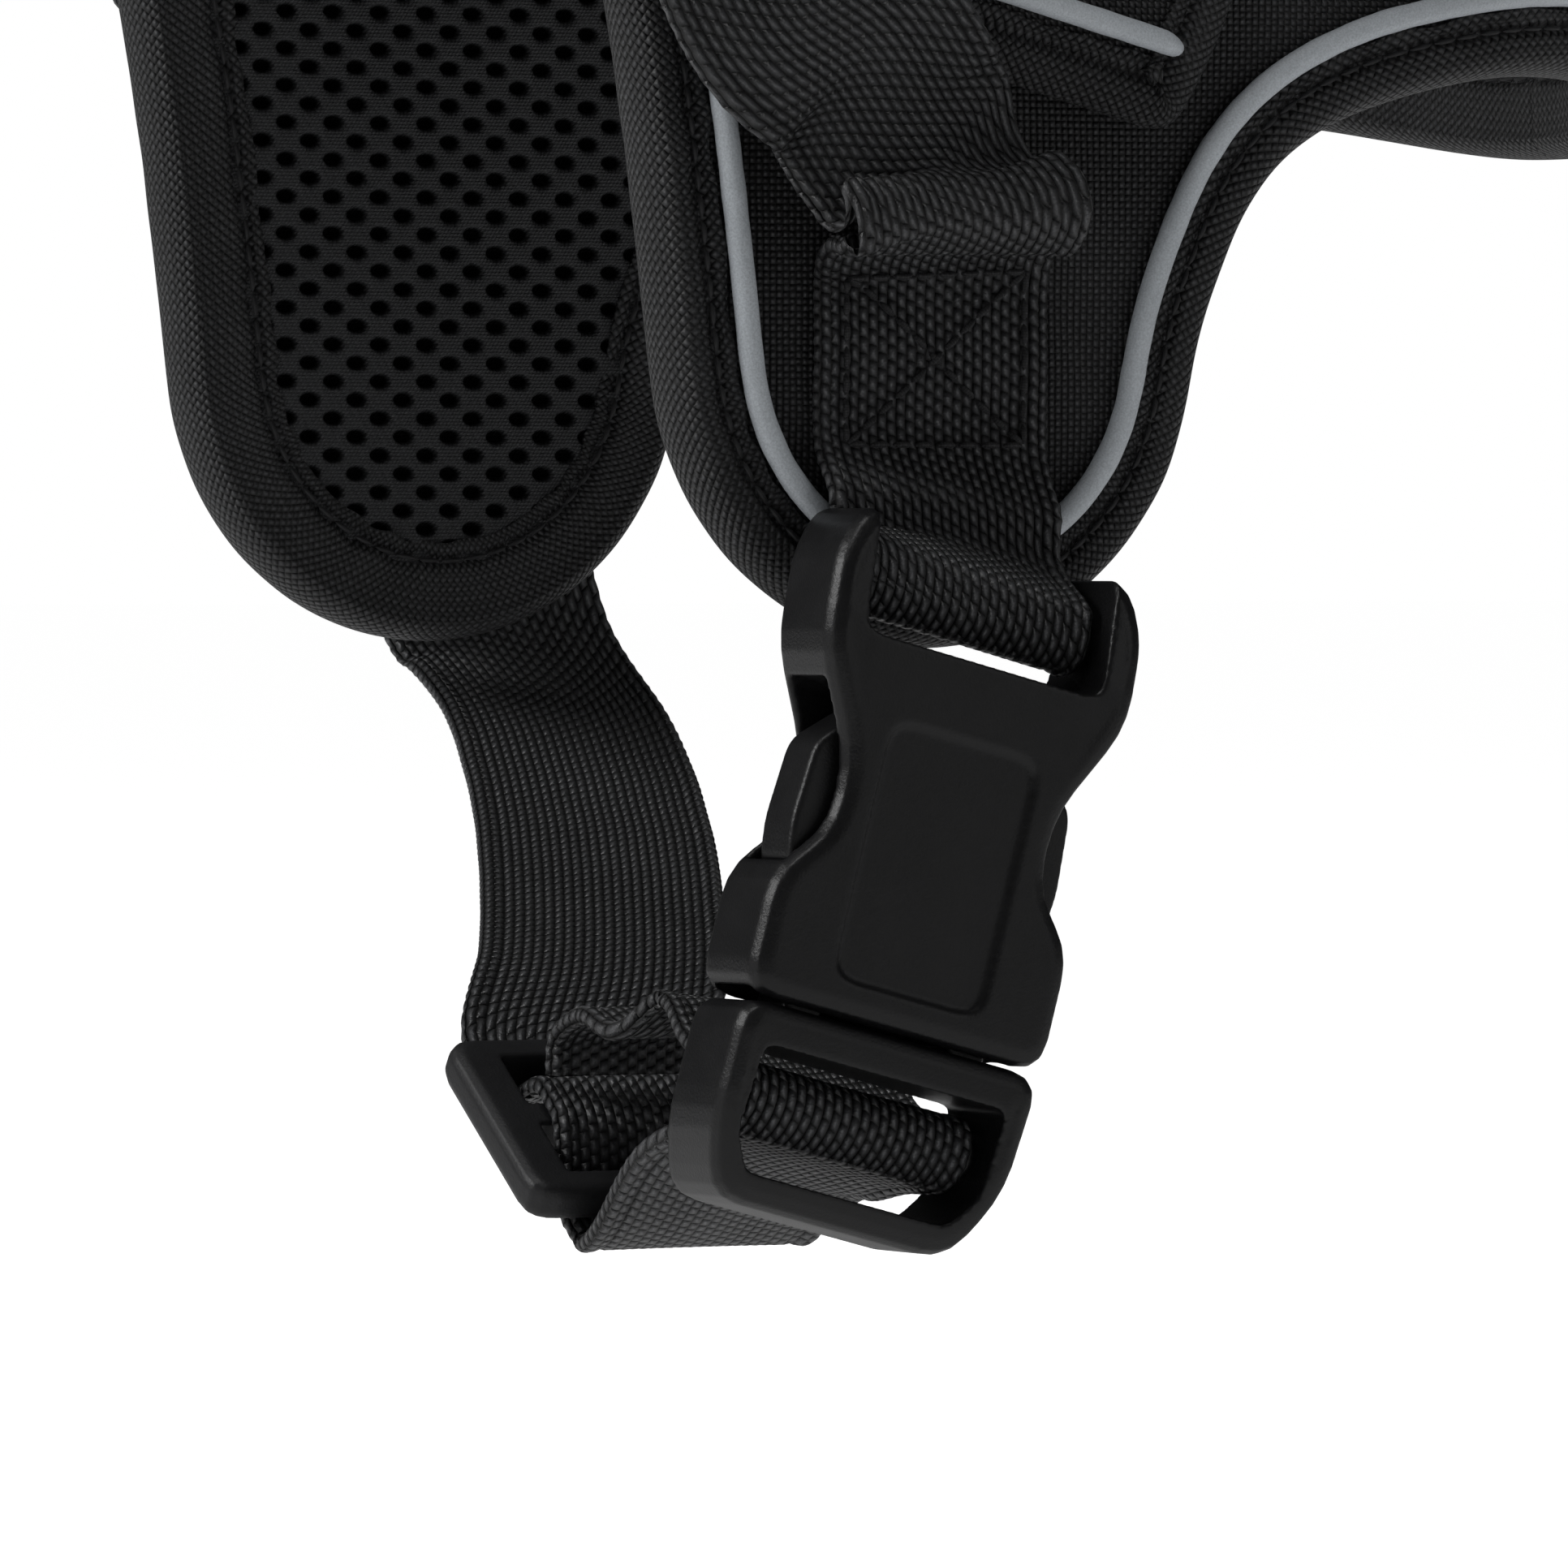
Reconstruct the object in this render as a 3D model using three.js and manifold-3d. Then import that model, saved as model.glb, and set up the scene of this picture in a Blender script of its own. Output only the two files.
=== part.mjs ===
// Padded safety harness vest for a small dog, worn shape, millimetres, +Z up, +X towards the dog's head.
// The origin is on the inner face of the back pad, midway between the flanks.
import * as THREE from 'three';
import { mergeVertices } from 'three/addons/utils/BufferGeometryUtils.js';
import Module from 'manifold-3d';

const wasm = await Module();
wasm.setup();

// ---- driving dimensions -------------------------------------------------------------------------
const GAP = 0.3; // air between neighbouring solids

const BODY_HALF_WIDTH = 52; // centre plane to the inner face of a flank
const SHOULDER_RADIUS = 40; // bend from the back down to a flank
const CHEST_START_X = 50; // where a flank starts to curve round the chest
const LOBE_DROP = 140; // inner face of the back down to a lobe's tip
const LOBE_HALF_WIDTH = 28.5; // lobe at the top of its round end
const LOBE_CENTRE_X = 1.5;
const TIP_RADIUS = 29; // round end of a lobe

const LINING_THICKNESS = 1.8;
const FOAM_THICKNESS = 3.6;
const COVER_THICKNESS = 1.2;
const SADDLE_PAD_THICKNESS = 1.8;
const SADDLE_COVER_THICKNESS = 1.0;
const BINDING_WIDTH = 2.4; // binding outside the edge that it wraps
const BINDING_PROUD = 0.4; // binding past the faces that it wraps
const PIPING_RADIUS = 1.2;
const PIPING_INSET = 7.4; // piping centre line from the bound edge

const REAR_X = -46; // rear edge of the back
const NECK_X = 40; // front edge of the back
const SADDLE_FRONT_X = 35;
const SADDLE_EDGE_DROP = 78; // saddle's lower edge below the back, at the centre of the lobe
const SADDLE_EDGE_SLOPE = 0.27;
const BAND_TOP_DROP = 52; // breast band's upper edge, at the flank
const BAND_TOP_SAG = 6; // how much lower it is at the breast
const ARCH_DROP = 83; // top of the armhole
const BAND_BOTTOM_SAG = 7; // how much lower the band's lower edge is at the breast

const WEB_WIDTH = 25;
const WEB_THICKNESS = 1.6;
const BOX_STITCH_ABOVE_TIP = 36; // upper edge of the sewn box above the lobe's tip
const LOAD_STRAP_X = -30; // load strap where it crosses the back

const BUCKLE_TOP_X = 0.3; // middle of the female's upper end
const BUCKLE_OFF_PAD = 5.8; // air between the pad's outer face and the upper end's back
const BUCKLE_ABOVE_TIP = 10; // upper end above the lobe's tip
const BUCKLE_TILT = 15; // degrees, lower end towards the rear
const BUCKLE_THICKNESS = 12;
const FEMALE_LENGTH = 48;
const MALE_LENGTH = 19;
const MOUTH_HALF_WIDTH = 16.4;
const POST_HALF_WIDTH = 16.9;
const WAIST_HALF_WIDTH = 11.6;
const SLOT_HALF_WIDTH = 13.1;
const SLOT_DEPTH = 12;
const WINDOW_TOP = 17; // start of the arm windows below the upper end
const WINDOW_BOTTOM = 36;
const CAVITY_HALF_WIDTH = 15.1;
const CAVITY_HALF_DEPTH = 3.9;
const TONGUE_THICKNESS = 3.4;
const ARM_THICKNESS = 6.4;
const ARM_TIP_HALF_WIDTH = 14.7;
const BAR_RADIUS = 1.7;
const BAR_DROP = 9; // male's bar below the parting line

const SLIDER_X = -13.5;
const SLIDER_FROM_FLANK = 25; // slider's centre from the inner face of the near flank
const SLIDER_BELOW_TIP = 47;
const SLIDER_SIZE = [36, 25, 4]; // along the bars, along the webbing, thickness
const SLIDER_BAR = 3.2;
const SLIDER_TILT = 35; // degrees, towards the near side and down

const D_RING_INNER = [27, 16]; // across the bar, height
const D_RING_WIRE = 4;
const HANDLE_RISE = 24;

// ---- draped surface -----------------------------------------------------------------------------
// A place on the vest is (x, s, n): x along the dog, s along the surface from the spine (near side
// negative), n outwards from the inner face.
const flatHalf = BODY_HALF_WIDTH - SHOULDER_RADIUS;
const flankStart = flatHalf + SHOULDER_RADIUS * Math.PI / 2;
const breastX = CHEST_START_X + BODY_HALF_WIDTH * Math.PI / 2; // flat-pattern x of the breast's middle
const along = (drop) => flankStart + drop - SHOULDER_RADIUS; // s of a flank point from its drop

function drape(x, s, n) {
  const side = Math.sign(s);
  const a = Math.abs(s);
  if (a <= flatHalf) return new THREE.Vector3(x, s, n);
  if (a < flankStart) {
    const turn = (a - flatHalf) / SHOULDER_RADIUS;
    const r = SHOULDER_RADIUS + n;
    return new THREE.Vector3(x, side * (flatHalf + r * Math.sin(turn)), r * Math.cos(turn) - SHOULDER_RADIUS);
  }
  const z = flankStart - SHOULDER_RADIUS - a;
  const r = BODY_HALF_WIDTH + n;
  const past = Math.max(0, x - (2 * breastX - CHEST_START_X)); // round the breast and back along the other flank
  const turn = Math.max(0, x - past - CHEST_START_X) / BODY_HALF_WIDTH;
  const forward = Math.min(x, CHEST_START_X) - past;
  return new THREE.Vector3(forward + r * Math.sin(turn), side * r * Math.cos(turn), z);
}

// ---- mesh helpers -------------------------------------------------------------------------------
function toGeometry(points, triangles) {
  const geometry = new THREE.BufferGeometry();
  geometry.setAttribute('position', new THREE.Float32BufferAttribute(points.flatMap((p) => p.toArray()), 3));
  let volume = 0;
  for (const [a, b, c] of triangles) {
    volume += points[a].dot(new THREE.Vector3().crossVectors(points[b], points[c]));
  }
  const outward = volume > 0 ? triangles : triangles.map(([a, b, c]) => [a, c, b]);
  geometry.setIndex(outward.flat());
  return geometry;
}

// A closed sheet between two grids of the same size; loop joins its last row to its first.
function slab(lower, upper, loop = false) {
  const rows = lower.length;
  const cols = lower[0].length;
  const points = [...lower.flat(), ...upper.flat()];
  const low = (j, i) => (j % rows) * cols + i;
  const up = (j, i) => rows * cols + low(j, i);
  const triangles = [];
  const quad = (a, b, c, d) => triangles.push([a, b, c], [a, c, d]);
  const steps = loop ? rows : rows - 1;
  for (let j = 0; j < steps; j += 1) {
    for (let i = 0; i < cols - 1; i += 1) {
      quad(low(j, i), low(j, i + 1), low(j + 1, i + 1), low(j + 1, i));
      quad(up(j, i), up(j + 1, i), up(j + 1, i + 1), up(j, i + 1));
    }
    quad(low(j, 0), low(j + 1, 0), up(j + 1, 0), up(j, 0));
    quad(low(j, cols - 1), up(j, cols - 1), up(j + 1, cols - 1), low(j + 1, cols - 1));
  }
  if (!loop) {
    for (let i = 0; i < cols - 1; i += 1) {
      quad(low(0, i), up(0, i), up(0, i + 1), low(0, i + 1));
      quad(low(rows - 1, i), low(rows - 1, i + 1), up(rows - 1, i + 1), up(rows - 1, i));
    }
  }
  return toGeometry(points, triangles);
}

// A closed tube through rings of the same count; loop joins the last ring to the first.
function loft(rings, loop = false) {
  const count = rings[0].length;
  const points = rings.flat();
  const at = (j, i) => (j % rings.length) * count + (i % count);
  const triangles = [];
  const steps = loop ? rings.length : rings.length - 1;
  for (let j = 0; j < steps; j += 1) {
    for (let i = 0; i < count; i += 1) {
      triangles.push([at(j, i), at(j, i + 1), at(j + 1, i + 1)], [at(j, i), at(j + 1, i + 1), at(j + 1, i)]);
    }
  }
  if (!loop) {
    for (let i = 1; i < count - 1; i += 1) {
      triangles.push([at(0, 0), at(0, i + 1), at(0, i)]);
      triangles.push([at(rings.length - 1, 0), at(rings.length - 1, i), at(rings.length - 1, i + 1)]);
    }
  }
  return toGeometry(points, triangles);
}

const spread = (from, to, steps) => Array.from({ length: steps + 1 }, (_, i) => from + (to - from) * i / steps);

// A panel between two layers, from rows of flat-pattern points.
function panel(rows, n0, n1) {
  const lay = (n) => rows.map((row) => row.map(([x, s]) => drape(x, s, n)));
  return slab(lay(n0), lay(n1));
}

// Flat-pattern path helpers: normals point to the left of travel.
function pathNormals(path, loop) {
  const last = path.length - 1;
  return path.map((_, i) => {
    const a = path[i === 0 ? (loop ? last : 0) : i - 1];
    const b = path[i === last ? (loop ? 0 : last) : i + 1];
    const length = Math.hypot(b[0] - a[0], b[1] - a[1]);
    return [-(b[1] - a[1]) / length, (b[0] - a[0]) / length];
  });
}

function offsetPath(path, distance, loop = false) {
  const normals = pathNormals(path, loop);
  return path.map(([x, s], i) => [x + normals[i][0] * distance, s + normals[i][1] * distance]);
}

// A strip along a path, from one offset to another and one layer to another.
function strip(path, d0, d1, n0, n1, loop = false) {
  const inner = offsetPath(path, d0, loop);
  const outer = offsetPath(path, d1, loop);
  const lay = (n) => path.map((_, i) => [drape(...inner[i], n), drape(...outer[i], n)]);
  return slab(lay(n0), lay(n1), loop);
}

// A round cord on the draped surface, along a path.
function cordOn(path, n, radius, sides = 5) {
  const normals = pathNormals(path, false);
  return loft(path.map(([x, s], i) => spread(0, 2 * Math.PI, sides).slice(0, -1).map((angle) => {
    const d = radius * Math.cos(angle);
    return drape(x + normals[i][0] * d, s + normals[i][1] * d, n + radius * Math.sin(angle));
  })));
}

// Points at even steps along a smooth curve through hand-chosen points.
function smooth(points, steps) {
  const curve = new THREE.CatmullRomCurve3(points.map((p) => new THREE.Vector3(...p)), false, 'centripetal');
  return curve.getSpacedPoints(steps);
}
// A flat-pattern polyline with no step longer than the one given; every corner is kept.
function stepped(points, step) {
  return points.flatMap((point, i) => {
    if (i === 0) return [point];
    const [a, b] = [points[i - 1], point];
    const count = Math.ceil(Math.hypot(b[0] - a[0], b[1] - a[1]) / step);
    return spread(0, 1, count).slice(1).map((t) => [a[0] + (b[0] - a[0]) * t, a[1] + (b[1] - a[1]) * t]);
  });
}

// A flat webbing along centre points, each with the direction across its width.
function ribbon(centres, across, width = WEB_WIDTH, thickness = WEB_THICKNESS) {
  const lower = [];
  const upper = [];
  centres.forEach((centre, i) => {
    const before = centres[Math.max(0, i - 1)];
    const after = centres[Math.min(centres.length - 1, i + 1)];
    const tangent = after.clone().sub(before).normalize();
    const side = across(i / (centres.length - 1), centre).clone();
    side.addScaledVector(tangent, -side.dot(tangent)).normalize().multiplyScalar(width / 2);
    const normal = new THREE.Vector3().crossVectors(tangent, side).normalize().multiplyScalar(thickness / 2);
    lower.push([centre.clone().sub(side).sub(normal), centre.clone().add(side).sub(normal)]);
    upper.push([centre.clone().sub(side).add(normal), centre.clone().add(side).add(normal)]);
  });
  return slab(lower, upper);
}

// ---- solids -------------------------------------------------------------------------------------
function solid(geometry) {
  const clean = geometry.clone();
  clean.deleteAttribute('normal');
  clean.deleteAttribute('uv');
  const merged = mergeVertices(clean, 1e-4);
  return new wasm.Manifold(new wasm.Mesh({
    numProp: 3,
    vertProperties: new Float32Array(merged.attributes.position.array),
    triVerts: new Uint32Array(merged.index.array),
  }));
}

function fromSolid(manifold) {
  const mesh = manifold.getMesh();
  const geometry = new THREE.BufferGeometry();
  geometry.setAttribute('position', new THREE.BufferAttribute(new Float32Array(mesh.vertProperties), 3));
  geometry.setIndex(new THREE.BufferAttribute(new Uint32Array(mesh.triVerts), 1));
  return geometry;
}

// A plate whose outline lies in x and z, centred on y.
function plate(outline, thickness, bevel = 0) {
  const shape = new THREE.Shape(outline.map(([x, z]) => new THREE.Vector2(x, z)));
  const geometry = new THREE.ExtrudeGeometry(shape, {
    depth: thickness - 2 * bevel, bevelEnabled: bevel > 0, bevelThickness: bevel, bevelSize: bevel,
    bevelOffset: -bevel, bevelSegments: 2,
  });
  geometry.translate(0, 0, bevel - thickness / 2);
  geometry.rotateX(Math.PI / 2);
  return solid(geometry);
}

const block = (x0, x1, y0, y1, z0, z1) => {
  const geometry = new THREE.BoxGeometry(x1 - x0, y1 - y0, z1 - z0);
  geometry.translate((x0 + x1) / 2, (y0 + y1) / 2, (z0 + z1) / 2);
  return solid(geometry);
};

const rod = (radius, length, x, y, z) => {
  const geometry = new THREE.CylinderGeometry(radius, radius, length, 12);
  geometry.rotateZ(Math.PI / 2);
  geometry.translate(x, y, z);
  return solid(geometry);
};

// A symmetric outline from its right half, listed from the top down; corners are rounded.
function mirrored(half) {
  return [...half, ...half.map(([x, z]) => [-x, z]).reverse()];
}

function roundedOutline(corners, radius, steps = 3) {
  return corners.flatMap((corner, i) => {
    const before = new THREE.Vector2(...corners[(i + corners.length - 1) % corners.length]);
    const here = new THREE.Vector2(...corner);
    const after = new THREE.Vector2(...corners[(i + 1) % corners.length]);
    const reach = Math.min(radius, here.distanceTo(before) * 0.45, here.distanceTo(after) * 0.45);
    const start = here.clone().add(before.sub(here).setLength(reach));
    const end = here.clone().add(after.sub(here).setLength(reach));
    return new THREE.QuadraticBezierCurve(start, here, end).getPoints(steps).map((p) => [p.x, p.y]);
  });
}

// ---- materials ----------------------------------------------------------------------------------
const material = (color, roughness, metalness = 0) => new THREE.MeshStandardMaterial({ color, roughness, metalness });
const oxford = material(0x17181a, 0.85);
const mesh = material(0x101113, 0.9);
const foamGrey = material(0x2a2b2d, 0.95);
const bindingBlack = material(0x1a1b1d, 0.8);
const reflective = material(0x969ea5, 0.6);
const webbing = material(0x1b1c1e, 0.75);
const plastic = material(0x1d1e20, 0.45);
const steel = material(0x8d8f92, 0.3, 1);

const vest = new THREE.Group();
vest.name = 'safety_harness_vest';

function add(name, geometry, look, parent = vest) {
  const piece = new THREE.Mesh(geometry, look);
  piece.name = name;
  parent.add(piece);
  return piece;
}

// The far side is the near side seen in the dog's centre plane.
function mirrorSide(geometry) {
  const copy = geometry.clone();
  copy.scale(1, -1, 1);
  const index = Array.from(copy.index.array);
  for (let i = 0; i < index.length; i += 3) [index[i], index[i + 1]] = [index[i + 1], index[i]];
  copy.setIndex(index);
  return copy;
}

// ---- outline ------------------------------------------------------------------------------------
// Edges as [x, distance from the spine]; straight between points, round at the lobe's end.
const tipS = along(LOBE_DROP);
const roundS = tipS - TIP_RADIUS;
const archS = along(ARCH_DROP);
const rearEdge = [
  [REAR_X, 0], [REAR_X, 14], [REAR_X + 1, 40], [REAR_X + 7, 80], [LOBE_CENTRE_X - LOBE_HALF_WIDTH - 4, roundS - 32],
  [LOBE_CENTRE_X - LOBE_HALF_WIDTH, roundS],
];
const lobeFront = [
  [LOBE_CENTRE_X + LOBE_HALF_WIDTH, roundS], [LOBE_CENTRE_X + LOBE_HALF_WIDTH + 2.5, archS + 22],
  [LOBE_CENTRE_X + LOBE_HALF_WIDTH + 5.5, archS + 14.5], [LOBE_CENTRE_X + LOBE_HALF_WIDTH + 9.5, archS + 9.5],
];
const archEdge = [
  lobeFront[3], [45, archS + 6], [54, archS + 2.7], [68, archS], [90, archS + 1.6],
  [breastX - 12, archS + BAND_BOTTOM_SAG], [breastX, archS + BAND_BOTTOM_SAG],
];
const bandTopS = along(BAND_TOP_DROP);
const neckTurnS = flankStart + 2;
const neckEdge = [[NECK_X, 0], [NECK_X + 3, 40], [CHEST_START_X, neckTurnS]];
const bandTop = [
  [CHEST_START_X, neckTurnS], [CHEST_START_X + 8, bandTopS - 2], [CHEST_START_X + 20, bandTopS],
  [breastX - 12, bandTopS + BAND_TOP_SAG], [breastX, bandTopS + BAND_TOP_SAG],
];

function edgeAt(points, s) {
  const sorted = [...points].sort((a, b) => a[1] - b[1]);
  const i = Math.max(1, sorted.findIndex((p) => p[1] >= s));
  const [a, b] = [sorted[i - 1], sorted[i]];
  return a[0] + (b[0] - a[0]) * (s - a[1]) / (b[1] - a[1]);
}
const rearAt = (s) => (s > roundS ? LOBE_CENTRE_X - roundHalf(s) : edgeAt(rearEdge, s));
const frontAt = (s) => (s > roundS ? LOBE_CENTRE_X + roundHalf(s) : edgeAt([...neckEdge, ...lobeFront], s));
const roundHalf = (s) => LOBE_HALF_WIDTH * Math.sqrt(Math.max(0, 1 - ((s - roundS) / TIP_RADIUS) ** 2));

const PATH_STEP = 6; // longest facet along an edge
const EDGE = BINDING_WIDTH + 2 * GAP; // panels stop this far inside the finished edge

// ---- base pad: back and two side lobes, each cover, foam and lining ------------------------------
const layers = [
  ['lining', 0, LINING_THICKNESS, mesh],
  ['foam', LINING_THICKNESS + GAP, LINING_THICKNESS + GAP + FOAM_THICKNESS, foamGrey],
  ['cover', LINING_THICKNESS + FOAM_THICKNESS + 2 * GAP,
    LINING_THICKNESS + FOAM_THICKNESS + 2 * GAP + COVER_THICKNESS, oxford],
];
const coverTop = layers[2][2];
const lobeTopS = 60; // seam between the back and a lobe
const BUCKLE_TOP = [
  BUCKLE_TOP_X, -(BODY_HALF_WIDTH + coverTop + BUCKLE_OFF_PAD + BUCKLE_THICKNESS / 2), BUCKLE_ABOVE_TIP - LOBE_DROP,
];
const SLIDER_CENTRE = [SLIDER_X, SLIDER_FROM_FLANK - BODY_HALF_WIDTH, -LOBE_DROP - SLIDER_BELOW_TIP];
const boxTopDrop = LOBE_DROP - BOX_STITCH_ABOVE_TIP;
const tipEase = 0.985; // last row stops short of the tip, where the round end would close to a point

const lobeRows = [
  ...spread(lobeTopS, roundS, 13),
  ...spread(0, 1, 7).slice(1).map((t) => roundS + (TIP_RADIUS - EDGE) * Math.sin(t * tipEase * Math.PI / 2)),
].map((s) => {
  const inset = s > roundS ? (TIP_RADIUS - EDGE) / TIP_RADIUS : 1;
  const half = (LOBE_HALF_WIDTH - EDGE) * Math.sqrt(Math.max(0, 1 - ((s - roundS) / (TIP_RADIUS * inset)) ** 2));
  const left = s > roundS ? LOBE_CENTRE_X - half : rearAt(s) + EDGE;
  const right = s > roundS ? LOBE_CENTRE_X + half : frontAt(s) - EDGE;
  return spread(left, right, 6).map((x) => [x, -s]);
});
const backRows = spread(-lobeTopS + GAP, lobeTopS - GAP, 14).map((s) => (
  spread(rearAt(Math.abs(s)) + EDGE, frontAt(Math.abs(s)) - EDGE, 4).map((x) => [x, s])));

for (const [layer, n0, n1, look] of layers) {
  const lobe = panel(lobeRows, n0, n1);
  add(`back_${layer}`, panel(backRows, n0, n1), look);
  add(`near_lobe_${layer}`, lobe, look);
  add(`far_lobe_${layer}`, mirrorSide(lobe), look);
}

// ---- breast band, from the near lobe round the breast to the far lobe ----------------------------
const seamTop = [CHEST_START_X - EDGE + 0.6, neckTurnS + EDGE];
const inBand = (points, shift) => points.map(([x, s]) => [x, s + shift]);
const bandHalf = 14;
const bandRows = spread(0, 1, 2 * bandHalf).map((t) => {
  const half = 1 - Math.abs(1 - 2 * t);
  const at = (points) => {
    const curve = new THREE.CatmullRomCurve3(points.map(([x, s]) => new THREE.Vector3(x, s, 0)));
    const p = curve.getPointAt(half);
    return [p.x, p.y];
  };
  const top = at([seamTop, ...inBand(bandTop.slice(1, 2), EDGE + 1.4), ...inBand(bandTop.slice(2), EDGE)]);
  const bottom = at([[archEdge[0][0] - EDGE + 1.2, archEdge[0][1] - EDGE + 0.4], ...inBand(archEdge.slice(1), -EDGE)]);
  const unfold = (x) => (t > 0.5 ? 2 * breastX - x : x);
  return spread(0, 1, 3).map((b) => [
    unfold(top[0] + (bottom[0] - top[0]) * b), -(top[1] + (bottom[1] - top[1]) * b),
  ]);
});
for (const [layer, n0, n1, look] of layers) add(`breast_${layer}`, panel(bandRows, n0, n1), look);

// ---- bindings: a tape round each edge ------------------------------------------------------------
const roundEnd = spread(Math.PI, 0, 16).map((angle) => [
  LOBE_CENTRE_X + LOBE_HALF_WIDTH * Math.cos(angle), roundS + TIP_RADIUS * Math.sin(angle)]);
const join = 0.5; // half the air between the two halves of a tape
const outerPath = stepped([
  [REAR_X, join], ...rearEdge.slice(1, -1), ...roundEnd, ...lobeFront.slice(1), ...archEdge.slice(1, -1),
  [breastX - join, archS + BAND_BOTTOM_SAG],
].map(([x, s]) => [x, -s]), PATH_STEP);
const neckPath = stepped([
  [NECK_X, join], ...neckEdge.slice(1), ...bandTop.slice(1, -1), [breastX - join, bandTopS + BAND_TOP_SAG],
].map(([x, s]) => [x, -s]), PATH_STEP);
const bindTop = coverTop + BINDING_PROUD;
const outerBinding = strip(outerPath, BINDING_WIDTH, 0, -BINDING_PROUD, bindTop);
const neckBinding = strip(neckPath, 0, -BINDING_WIDTH, -BINDING_PROUD, bindTop);
add('near_edge_binding', outerBinding, bindingBlack);
add('far_edge_binding', mirrorSide(outerBinding), bindingBlack);
add('near_neck_binding', neckBinding, bindingBlack);
add('far_neck_binding', mirrorSide(neckBinding), bindingBlack);

// ---- saddle: an overlay across the back, its lower edges bound and piped ---------------------------
const saddleBase = coverTop + 1.5 * GAP;
const saddleTop = saddleBase + SADDLE_PAD_THICKNESS + GAP + SADDLE_COVER_THICKNESS;
const saddleRearS = along(SADDLE_EDGE_DROP);
const saddleRearAt = (s) => rearAt(s) + PIPING_INSET + PIPING_RADIUS + 2.4;
const saddleFront = [[SADDLE_FRONT_X, 0], [SADDLE_FRONT_X, 104], [30.5, 116], [25, 132]];
const saddleCornerX = saddleRearAt(saddleRearS);
const saddleFrontS = saddleRearS + (25.5 - saddleCornerX) * SADDLE_EDGE_SLOPE;
const saddleRows = spread(-1, 1, 30).map((b) => {
  const rear = Math.abs(b) * saddleRearS;
  const front = Math.abs(b) * saddleFrontS;
  const [x0, x1] = [saddleRearAt(rear), edgeAt(saddleFront, front)];
  const side = Math.sign(b);
  return spread(0, 1, 4).map((t) => [x0 + (x1 - x0) * t, side * (rear + (front - rear) * t)]);
});
add('saddle_pad', panel(saddleRows, saddleBase, saddleBase + SADDLE_PAD_THICKNESS), foamGrey);
add('saddle_cover', panel(saddleRows, saddleTop - SADDLE_COVER_THICKNESS, saddleTop), oxford);
const saddleEdge = spread(0, 1, 14).map((t) => [
  saddleCornerX + (25.2 - saddleCornerX) * t,
  -(saddleRearS + GAP + (saddleFrontS - saddleRearS) * t)]);
const saddleBinding = strip(saddleEdge, -BINDING_WIDTH, 0, saddleBase, saddleTop + BINDING_PROUD);
add('near_saddle_binding', saddleBinding, bindingBlack);
add('far_saddle_binding', mirrorSide(saddleBinding), bindingBlack);

// ---- reflective piping -----------------------------------------------------------------------------
const pipingN = coverTop + GAP + PIPING_RADIUS;
const edgePiping = cordOn(offsetPath(outerPath, PIPING_INSET), pipingN, PIPING_RADIUS);
add('near_edge_piping', edgePiping, reflective);
add('far_edge_piping', mirrorSide(edgePiping), reflective);
const saddlePiping = cordOn(offsetPath(saddleEdge, PIPING_INSET + 0.6), saddleTop + GAP + PIPING_RADIUS,
  PIPING_RADIUS);
add('near_saddle_piping', saddlePiping, reflective);
add('far_saddle_piping', mirrorSide(saddlePiping), reflective);

// ---- buckle frame of reference -----------------------------------------------------------------------
// Inside the buckle: x across, y into the dog, z up; its upper end is at z = 0.
const buckle = new THREE.Group();
buckle.position.set(...BUCKLE_TOP);
buckle.rotation.y = THREE.MathUtils.degToRad(BUCKLE_TILT);
vest.add(buckle);
buckle.updateMatrixWorld(true);
const inBuckle = (x, y, z) => new THREE.Vector3(x, y, z).applyMatrix4(buckle.matrixWorld);
const LEAN = [0.01, 0.0118]; // how strongly the posts and the male's end lean inwards
const LEAN_START = [-16, -FEMALE_LENGTH - 2]; // z where each lean starts
const FEMALE_BAR = [1, -6.3]; // y, z
const MALE_BAR = [0.6, -(FEMALE_LENGTH + GAP + BAR_DROP)];
const buckleAcross = inBuckle(1, 0, 0).sub(inBuckle(0, 0, 0));
const wrapRadius = BAR_RADIUS + 0.4 + WEB_THICKNESS / 2;
const wrap = ([y, z], from, to, steps) => spread(from, to, steps).map((angle) => (
  inBuckle(0, y + wrapRadius * Math.cos(angle), z + wrapRadius * Math.sin(angle))));

// ---- webbing -------------------------------------------------------------------------------------------
const webN = coverTop + GAP + WEB_THICKNESS / 2 + 0.1;
const strapN = saddleTop + BINDING_PROUD + GAP + WEB_THICKNESS / 2 + 0.1;
const overPiping = strapN + 2 * PIPING_RADIUS;
const overLobePiping = webN + 2 * PIPING_RADIUS + GAP;
const onFlank = (x, drop, n) => drape(x, -along(drop), n);
const boxBottomDrop = boxTopDrop + 22;
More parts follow.
